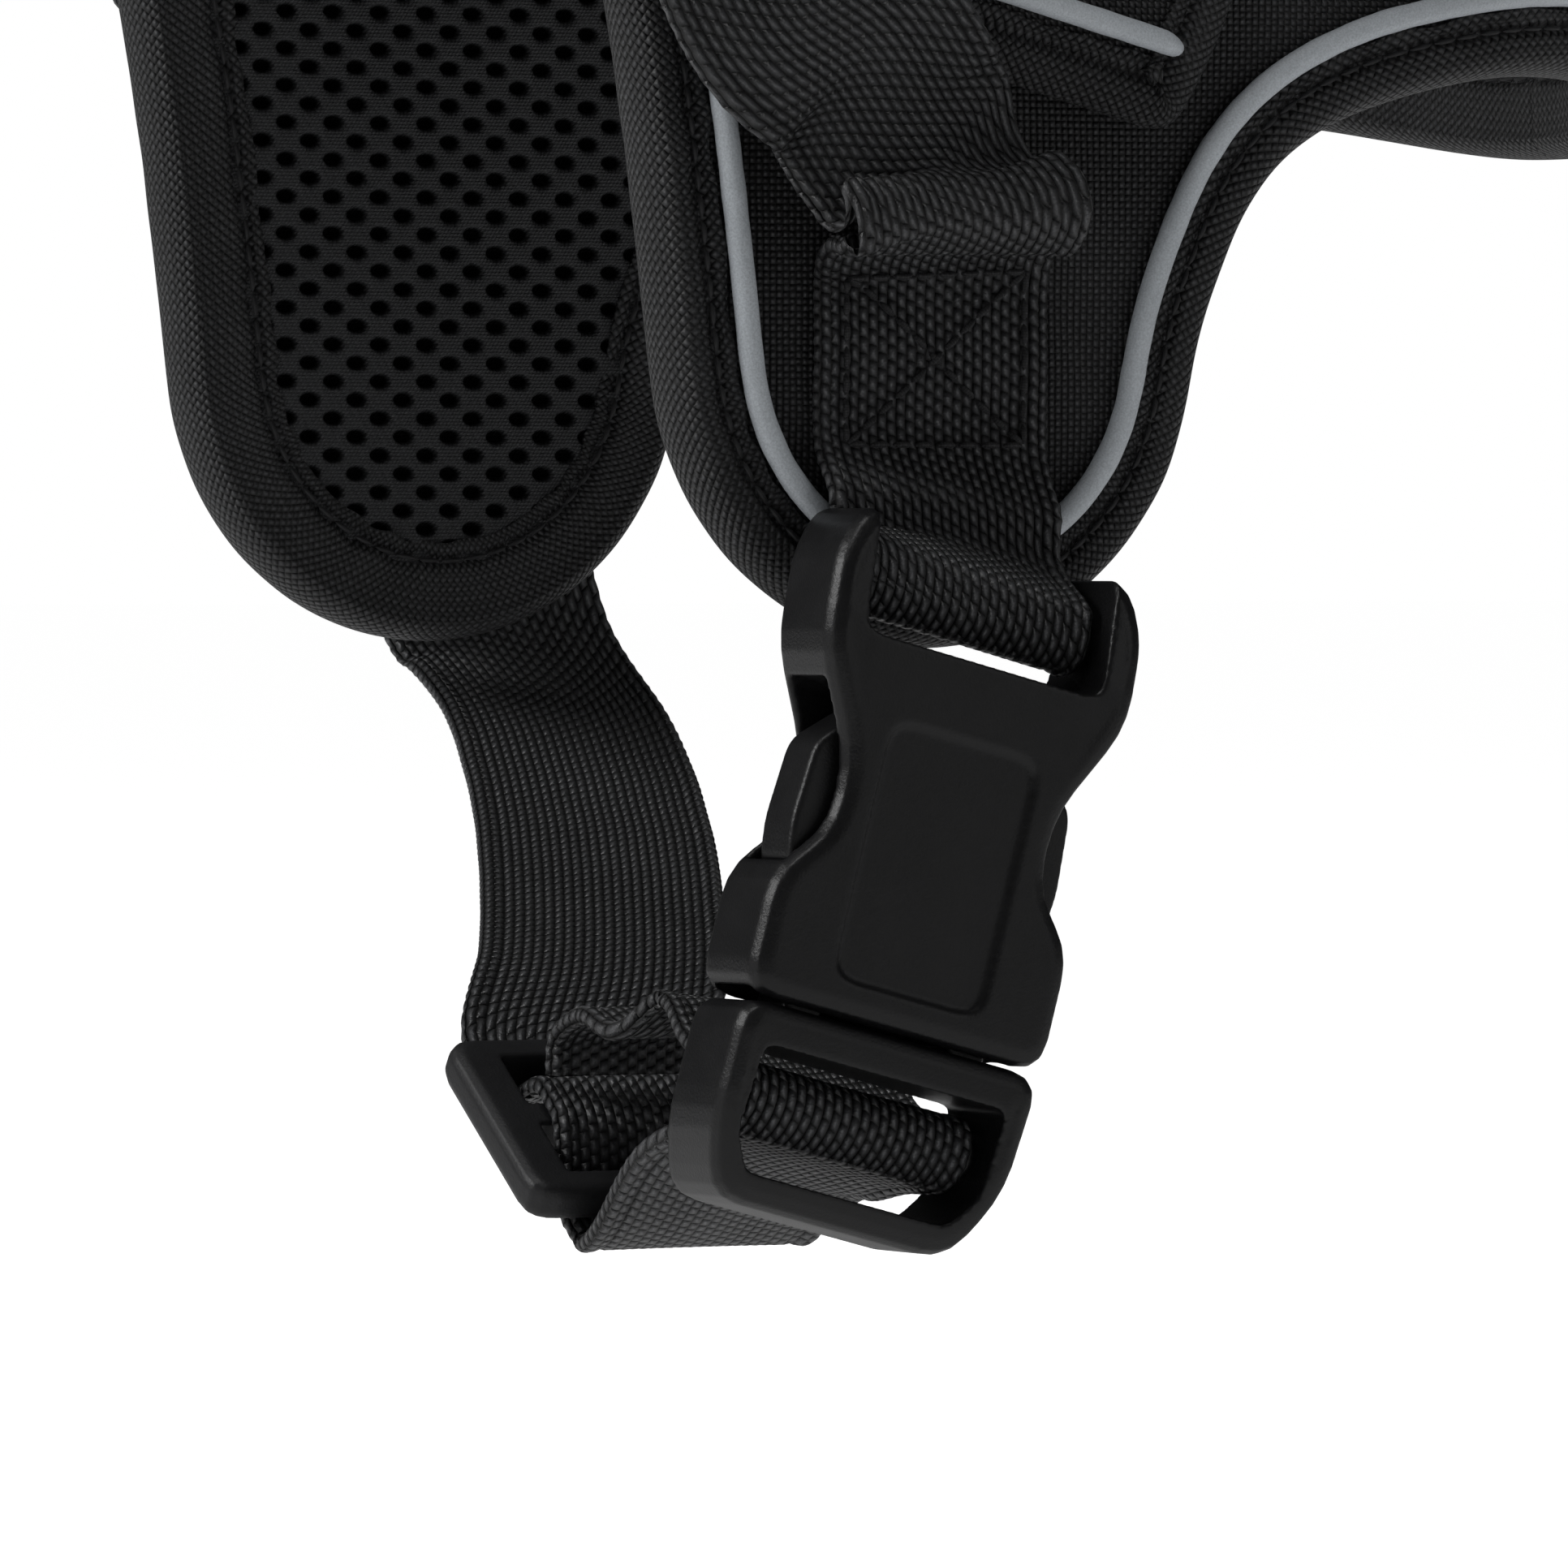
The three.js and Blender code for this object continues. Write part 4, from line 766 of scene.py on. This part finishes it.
# ---- webbing ----------------------------------------------------------------------------------------
def in_buckle(x, y, z):
    """A point of the buckle's own axes, with the bow of its long body."""
    y = y + 0.01 * max(0, z + 16) ** 2 + 0.0118 * max(0, -50 - z) ** 2
    return BUCKLE_TOP + np.array([x * math.cos(BUCKLE_TILT) + z * math.sin(BUCKLE_TILT), y,
                                  z * math.cos(BUCKLE_TILT) - x * math.sin(BUCKLE_TILT)])


def on_slider(t, w):
    """A point beside the slider: t along it, w through it."""
    return SLIDER_CENTRE + np.array([0, -t * math.cos(SLIDER_TILT) - w * math.sin(SLIDER_TILT),
                                     w * math.cos(SLIDER_TILT) - t * math.sin(SLIDER_TILT)])


def on_flank(x, drop, n):
    return drape(x, -along(drop), n)


def wrap(bar, start, end, count):
    """Points round a bar of the buckle, from one angle to the other."""
    turn = np.linspace(start, end, count)
    y, z = bar[0] + WRAP_RADIUS * np.cos(turn), bar[1] + WRAP_RADIUS * np.sin(turn)
    return [in_buckle(0, *point) for point in zip(y, z)]


ACROSS_BUCKLE = np.array([math.cos(BUCKLE_TILT), 0, -math.sin(BUCKLE_TILT)])
ACROSS_X = np.array([1.0, 0, 0])
ACROSS_Y = np.array([0, 1.0, 0])
BELOW, LEFT = np.array([1, -1]), np.array([-1, 1])  # mirror half of a section
ON_BACK, OVER_PIPING = 12.35, 14.75  # strap middles above the pad's inner face


class Strap:
    """Webbing along a route: gives points on its surface, and its mesh."""

    def __init__(self, points, across, step=0.5):
        self.centre = spline(points, step)
        gone = np.concatenate([[0], np.cumsum(np.linalg.norm(np.diff(self.centre, axis=0), axis=1))])
        self.gone = gone
        self.ahead = unit(np.gradient(self.centre, axis=0))
        sideways = across(gone / gone[-1], self.centre)
        self.across = unit(sideways - (sideways * self.ahead).sum(1, keepdims=True) * self.ahead)
        self.up = np.cross(self.ahead, self.across)

    def at(self, distance, offset, height):
        def pick(rows):
            return np.stack([np.interp(distance, self.gone, rows[:, k]) for k in range(3)], -1)
        sideways = np.asarray(offset)[..., None] * pick(self.across)
        return pick(self.centre) + sideways + np.asarray(height)[..., None] * pick(self.up)

    def mesh(self, name, dents=lambda d, o: 0, half=WEB_WIDTH / 2, thick=WEB_THICKNESS / 2):
        """A flat tube with thick rounded selvedges and a shallow rib for each column of yarn."""
        o = np.linspace(-half + 0.55, half - 0.55, 74)
        columns = 0.05 * np.abs(np.sin(o * math.pi / COLUMN))
        inset = half - np.abs(o)
        selvedge = 0.16 * np.exp(-((inset - 1.0) / 0.7) ** 2) - 0.12 * np.exp(-((inset - 2.3) / 0.4) ** 2)
        top = np.stack([o, thick - 0.06 + columns + selvedge], -1)
        round_a = np.linspace(math.pi / 2, -math.pi / 2, 9)[1:-1]
        right = np.stack([half - 0.55 + 0.6 * np.cos(round_a), thick * np.sin(round_a)], -1)
        section = np.vstack([top, right, top[::-1] * BELOW, right[::-1] * LEFT])
        d, o2 = np.meshgrid(self.gone, section[:, 0], indexing="ij")
        h = np.broadcast_to(section[None, :, 1], d.shape)
        sway = 0.10 * noise(d * 0.3, o2 * 0.12, seed=11)
        braid = 0.07 * np.sin(d * math.pi / 0.72) * (np.abs(o2) > half - 1.6)
        h = h + sway - np.where(h > 0, 1, 0.2) * dents(d, o2)
        flat = self.centre[:, None] + (o2 + braid)[..., None] * self.across[:, None]
        return tube(name, flat + h[..., None] * self.up[:, None], np.stack([o2, d], -1), WEBBING)


def along_x(share, centre):
    return np.broadcast_to(ACROSS_X, centre.shape)


def along_y(share, centre):
    return np.broadcast_to(ACROSS_Y, centre.shape)


def near_across(share, centre):
    t = np.clip((share - 0.06) / 0.10, 0, 1)[:, None]
    t = t * t * (3 - 2 * t)
    return ACROSS_BUCKLE * (1 - t) + ACROSS_X * t


def girth_across(share, centre):
    t = np.clip((-39.5 - centre[:, 1]) / 21.5, 0, 1)[:, None]
    t = t * t * (3 - 2 * t)
    return ACROSS_X * (1 - t) + ACROSS_BUCKLE * t


# Near strap from the buckle up: x, drop below the back, height above the pad's inner face.
# The rise between drops of 104 and 91 is the slack fold above the sewn box.
NEAR_FIXED = [on_flank(x, drop, n) for x, drop, n in (
    (0, 130, 12.1), (0, 126, 11.1), (0, 121, 8.4), (0, 112, 8.4), (0, 104, 8.7), (-0.3, 101.8, 11.2),
    (-0.6, 101.6, 15.4), (-1.2, 99.2, 18.6), (-2.4, 96.2, 17.9), (-3.4, 94.6, 15.0), (-6, 91, 14.3),
    (-11, 84, OVER_PIPING), (-17.5, 79, OVER_PIPING), (-24, 66, OVER_PIPING), (-28.5, 50, ON_BACK))]
OVER_BACK = [-FLANK_START, -54, -36, -18, -0.5]
near_strap = Strap(wrap(FEMALE_BAR, 0, -math.pi, 8) + [in_buckle(-0.2, 1 - WRAP_RADIUS, -3.9)] + NEAR_FIXED
                   + [drape(-30, s, ON_BACK) for s in OVER_BACK], near_across)
far_strap = Strap([drape(-30, -s, ON_BACK) for s in OVER_BACK[::-1]] + [
    drape(x, along(drop), n) for x, drop, n in (
        (-27, 52, ON_BACK), (-18, 67, OVER_PIPING), (-6, 79, OVER_PIPING), (4, 89, 12.95), (10, 98, 10.6),
        (9, 106, 10.2), (9, 114, 10.3), (9, 120, 10.7), (9, 126, 11.1))], along_x)
girth = Strap(
    [drape(9, along(126) + 0.3, 11.1), drape(10.5, along(131), 11.1), drape(14, along(140), 10.2)]
    + [np.array(point) for point in ((15, 52, -148), (9.5, 33, -157.5), (1.5, 14, -166), (-6.5, -2, -173.4))]
    + [on_slider(t, w) for t, w in (
        (-15.5, -3.2), (-13.5, -3.2), (-8.5, -3.2), (-2.7, 3.2), (0, 3.5), (2.7, 3.2), (8.5, -3.2), (11.5, -3.6),
        (13.8, -3.3))]
    + [in_buckle(0, 14.6, -62.4), in_buckle(0, 7.6, -60.7)]
    + wrap(MALE_BAR, -0.5 * math.pi, -1.5 * math.pi, 8)
    + [in_buckle(0, 7.6, -54.1), in_buckle(0, 13.6, -51.9), in_buckle(0, 21.6, -46.8)]
    + [on_slider(t, w) for t, w in ((7, 17), (1, 14.5), (-2.5, 9), (-1, 5.8))], girth_across)


def distance_to(strap, point):
    return float(strap.gone[np.argmin(np.linalg.norm(strap.centre - point, axis=1))])


BOX_ENDS = sorted(distance_to(near_strap, on_flank(0, drop, n)) for drop, n in ((104, 8.6), (121, 8.4)))
BOX_HALF = 9.6  # half the width of a sewn box


def box_lines(low, high):
    """The sides and the cross of a sewn box, as pairs of (distance, offset)."""
    a, b, c, d = (low, -BOX_HALF), (low, BOX_HALF), (high, BOX_HALF), (high, -BOX_HALF)
    return [(a, b), (b, c), (c, d), (d, a), (a, c), (b, d)]


def box_dents(lines):
    def dents(d, o):
        gap = np.full(np.shape(d), 9.0)
        for (d0, o0), (d1, o1) in lines:
            run = np.hypot(d1 - d0, o1 - o0)
            t = np.clip(((d - d0) * (d1 - d0) + (o - o0) * (o1 - o0)) / run ** 2, 0, 1)
            gap = np.minimum(gap, np.hypot(d - d0 - t * (d1 - d0), o - o0 - t * (o1 - o0)))
        return 0.30 * np.exp(-(gap / 0.9) ** 2)
    return dents


def stitches(name, strap, lines, outward, pitch=2.3, radius=0.34, lift=0.55):
    """Lock stitches along lines on a strap: one short raised thread for each needle step."""
    points, quads, uvs = [], [], []
    share = np.linspace(0, 1, 7)
    turn = np.linspace(0, 2 * math.pi, 7)[:-1]
    for start, end in lines:
        start, end = np.array(start), np.array(end)
        count = max(2, int(np.hypot(*(end - start)) / pitch))
        for k in range(count):
            a = start + (end - start) * (k + 0.07) / count
            b = start + (end - start) * (k + 0.93) / count
            route = a + (b - a) * share[:, None]
            arch = lift + 0.28 * np.sin(math.pi * share) - 0.12
            centre = strap.at(route[:, 0], route[:, 1], outward * (WEB_THICKNESS / 2 - 0.42 + arch))
            ahead = unit(np.gradient(centre, axis=0))
            above = strap.at(route[:, 0], route[:, 1], outward * np.full(len(share), 3.0))
            up = unit(above - strap.at(route[:, 0], route[:, 1], np.zeros(len(share))))
            across = np.cross(ahead, up)
            r = radius * np.sqrt(np.clip(1 - (2 * share - 1) ** 4, 0.05, 1))
            around = np.cos(turn)[None, :, None] * up[:, None] + np.sin(turn)[None, :, None] * across[:, None]
            rings = centre[:, None] + r[:, None, None] * around
            base = sum(len(p) for p in points)
            points.append(rings.reshape(-1, 3))
            quads.append(grid_quads(len(share), len(turn), base, wrap=True))
            flat = np.stack(np.broadcast_arrays(share[:, None] * pitch, turn[None] * radius), -1)
            uvs.append(flat.reshape(-1, 2))
    obj = make_object(name, np.vstack(points), np.vstack(quads).tolist(), np.vstack(uvs), THREAD)
    place(obj, "vest", "webbing")


def outer_side(strap, distance):
    """1 where the strap's up direction points away from the dog, else -1."""
    here = strap.at(np.array([distance]), np.array([0.0]), np.array([0.0]))[0]
    up = strap.at(np.array([distance]), np.array([0.0]), np.array([1.0]))[0] - here
    return 1 if up[1] * np.sign(here[1]) > 0 or (abs(here[1]) < 15 and up[2] > 0) else -1


near_lines = box_lines(*BOX_ENDS)
near_side = outer_side(near_strap, BOX_ENDS[0])
place(near_strap.mesh("near_webbing", box_dents(near_lines)), "vest", "webbing", "near_strap")
stitches("near_box_stitches", near_strap, near_lines, near_side)
far_ends = (distance_to(far_strap, drape(9, along(106), 10.2)),
            distance_to(far_strap, drape(9, along(126), 11.1)) - 2)
far_lines = box_lines(*far_ends)
place(far_strap.mesh("far_webbing", box_dents(far_lines)), "vest", "webbing", "far_strap")
stitches("far_box_stitches", far_strap, far_lines, outer_side(far_strap, far_ends[0]))
place(girth.mesh("girth_webbing"), "male", "webbing", "girth_strap",
      blend=("vest", "male", (0.0145, 0.053, -0.147), (-0.0065, -0.002, -0.1734)))


HANDLE_BASE = 11.95  # middle of the handle webbing where it is sewn down
handle = Strap([(x, 0, HANDLE_BASE + rise) for x, rise in (
    (-14.5, 0), (-11, 0), (-7, 0.3), (-4, 6), (-2.5, 14.4), (2, 22.1), (8, 24), (14, 22.1), (18.5, 14.4),
    (20, 6), (23, 0.3), (27, 0), (30.5, 0))], along_y)
place(handle.mesh("handle_webbing"), "vest", "webbing", "handle")
tab_turn = np.linspace(0, math.pi, 8)[1:-1]
tab = Strap([(-20, 0, 14.25), (-36, 0, 14.25), (-44.5, 0, 14.25)]
            + [(-53.8 - 3.2 * math.sin(a), 0, 11.6 + 3.2 * math.cos(a)) for a in tab_turn] + [(-50.8, 0, 8.4)],
            along_y)
place(tab.mesh("ring_tab_webbing", half=12.0), "vest", "webbing", "d_ring_tab")


# ---- moulded and metal parts -----------------------------------------------------------------------
def moulded_copy(name, node, body, slot, material, voxel, rounds):
    """A copy of the CAD mesh with its sharp edges melted to small moulded radii."""
    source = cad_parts[node]
    obj = bpy.data.objects.new(name, source.data.copy())
    bpy.context.scene.collection.objects.link(obj)
    obj.matrix_world = source.matrix_world.copy()
    remesh = obj.modifiers.new("Voxels", "REMESH")
    remesh.mode = "VOXEL"
    remesh.voxel_size = voxel * MM
    remesh.use_smooth_shade = True
    smooth = obj.modifiers.new("Radii", "SMOOTH")
    smooth.factor = 0.5
    smooth.iterations = rounds
    obj.data.materials.clear()
    obj.data.materials.append(material)
    place(obj, body, slot, node)


moulded_copy("female_shell", "female_buckle", "vest", "acetal", PLASTIC, 0.3, 3)
moulded_copy("male_frame", "male_buckle", "male", "acetal", PLASTIC, 0.3, 3)
moulded_copy("rear_arm_moulding", "rear_release_arm", "rear_arm", "acetal", PLASTIC, 0.26, 3)
moulded_copy("front_arm_moulding", "front_release_arm", "front_arm", "acetal", PLASTIC, 0.26, 3)
moulded_copy("slider_moulding", "tri_glide_slider", "slider", "acetal", SLIDER_PLASTIC, 0.26, 4)
moulded_copy("ring_metal", "d_ring", "ring", "steel", STEEL, 0.3, 6)


# ---- stage ------------------------------------------------------------------------------------------
FLOOR_GAP = 0.03  # metres of air under the hanging straps


def studio():
    """A pale floor, a large soft key from the upper left of the camera, a fill and a top light."""
    floor_z = cad_box[0][2] - FLOOR_GAP
    mesh = bpy.data.meshes.new("floor")
    corners = [(x, y, floor_z) for x, y in ((-20, -20), (20, -20), (20, 20), (-20, 20))]
    mesh.from_pydata(corners, [], [(0, 1, 2, 3)])
    n = Nodes("paper")
    n.put(n.shader.inputs["Base Color"], (0.9, 0.9, 0.9, 1))
    n.put(n.shader.inputs["Emission Color"], (1, 1, 1, 1))
    rays = n.tree.nodes.new("ShaderNodeLightPath")
    n.put(n.shader.inputs["Emission Strength"], n.range(rays.outputs["Is Camera Ray"], 0.16, 0.95))
    mesh.materials.append(n.finish(0.9, specular=0.1))
    floor = bpy.data.objects.new("floor", mesh)
    bpy.context.scene.collection.objects.link(floor)
    # Metres to the left of the target, towards the camera and up, the lamp's width, and its power in watts.
    for name, left, back, up, size, power in (
            ("key", 1.25, 0.3, 0.8, 0.55, 12.5), ("fill", -1.3, 0.7, 0.5, 0.8, 1.6),
            ("top", 0.2, 0.3, 1.3, 0.6, 5.0)):
        light = bpy.data.lights.new(name, "AREA")
        light.size = size
        light.energy = power
        lamp = bpy.data.objects.new(name, light)
        bpy.context.scene.collection.objects.link(lamp)
        lamp.location = TARGET - RIGHT * left - AHEAD * back + Vector((0, 0, up))
        lamp.rotation_euler = (TARGET - lamp.location).to_track_quat("-Z", "Y").to_euler()
    world = bpy.data.worlds.new("studio")
    bpy.context.scene.world = world
    world.use_nodes = True
    background = world.node_tree.nodes["Background"]
    background.inputs["Color"].default_value = (1, 1, 1, 1)
    rays = world.node_tree.nodes.new("ShaderNodeLightPath")
    seen = world.node_tree.nodes.new("ShaderNodeMapRange")
    seen.inputs["To Min"].default_value = 0.05
    seen.inputs["To Max"].default_value = 1.0
    world.node_tree.links.new(rays.outputs["Is Camera Ray"], seen.inputs["Value"])
    world.node_tree.links.new(seen.outputs[0], background.inputs["Strength"])


AHEAD = Vector((0.454, 0.891, 0)).normalized()
RIGHT = Vector((AHEAD.y, -AHEAD.x, 0))
TARGET = Vector((0.01185, -0.00604, -0.1541))
CAMERA_DISTANCE = 1.369
ELEVATION = math.radians(1)
studio()
lens = bpy.data.cameras.new("camera")
lens.lens = 314.7
lens.sensor_width = 36
camera = bpy.data.objects.new("camera", lens)
bpy.context.scene.collection.objects.link(camera)
looking = AHEAD * math.cos(ELEVATION) - Vector((0, 0, math.sin(ELEVATION)))
camera.location = TARGET - CAMERA_DISTANCE * looking
camera.rotation_euler = (TARGET - camera.location).to_track_quat("-Z", "Y").to_euler()
bpy.context.scene.camera = camera
bpy.context.scene.view_settings.view_transform = "Standard"

bpy.context.view_layer.update()
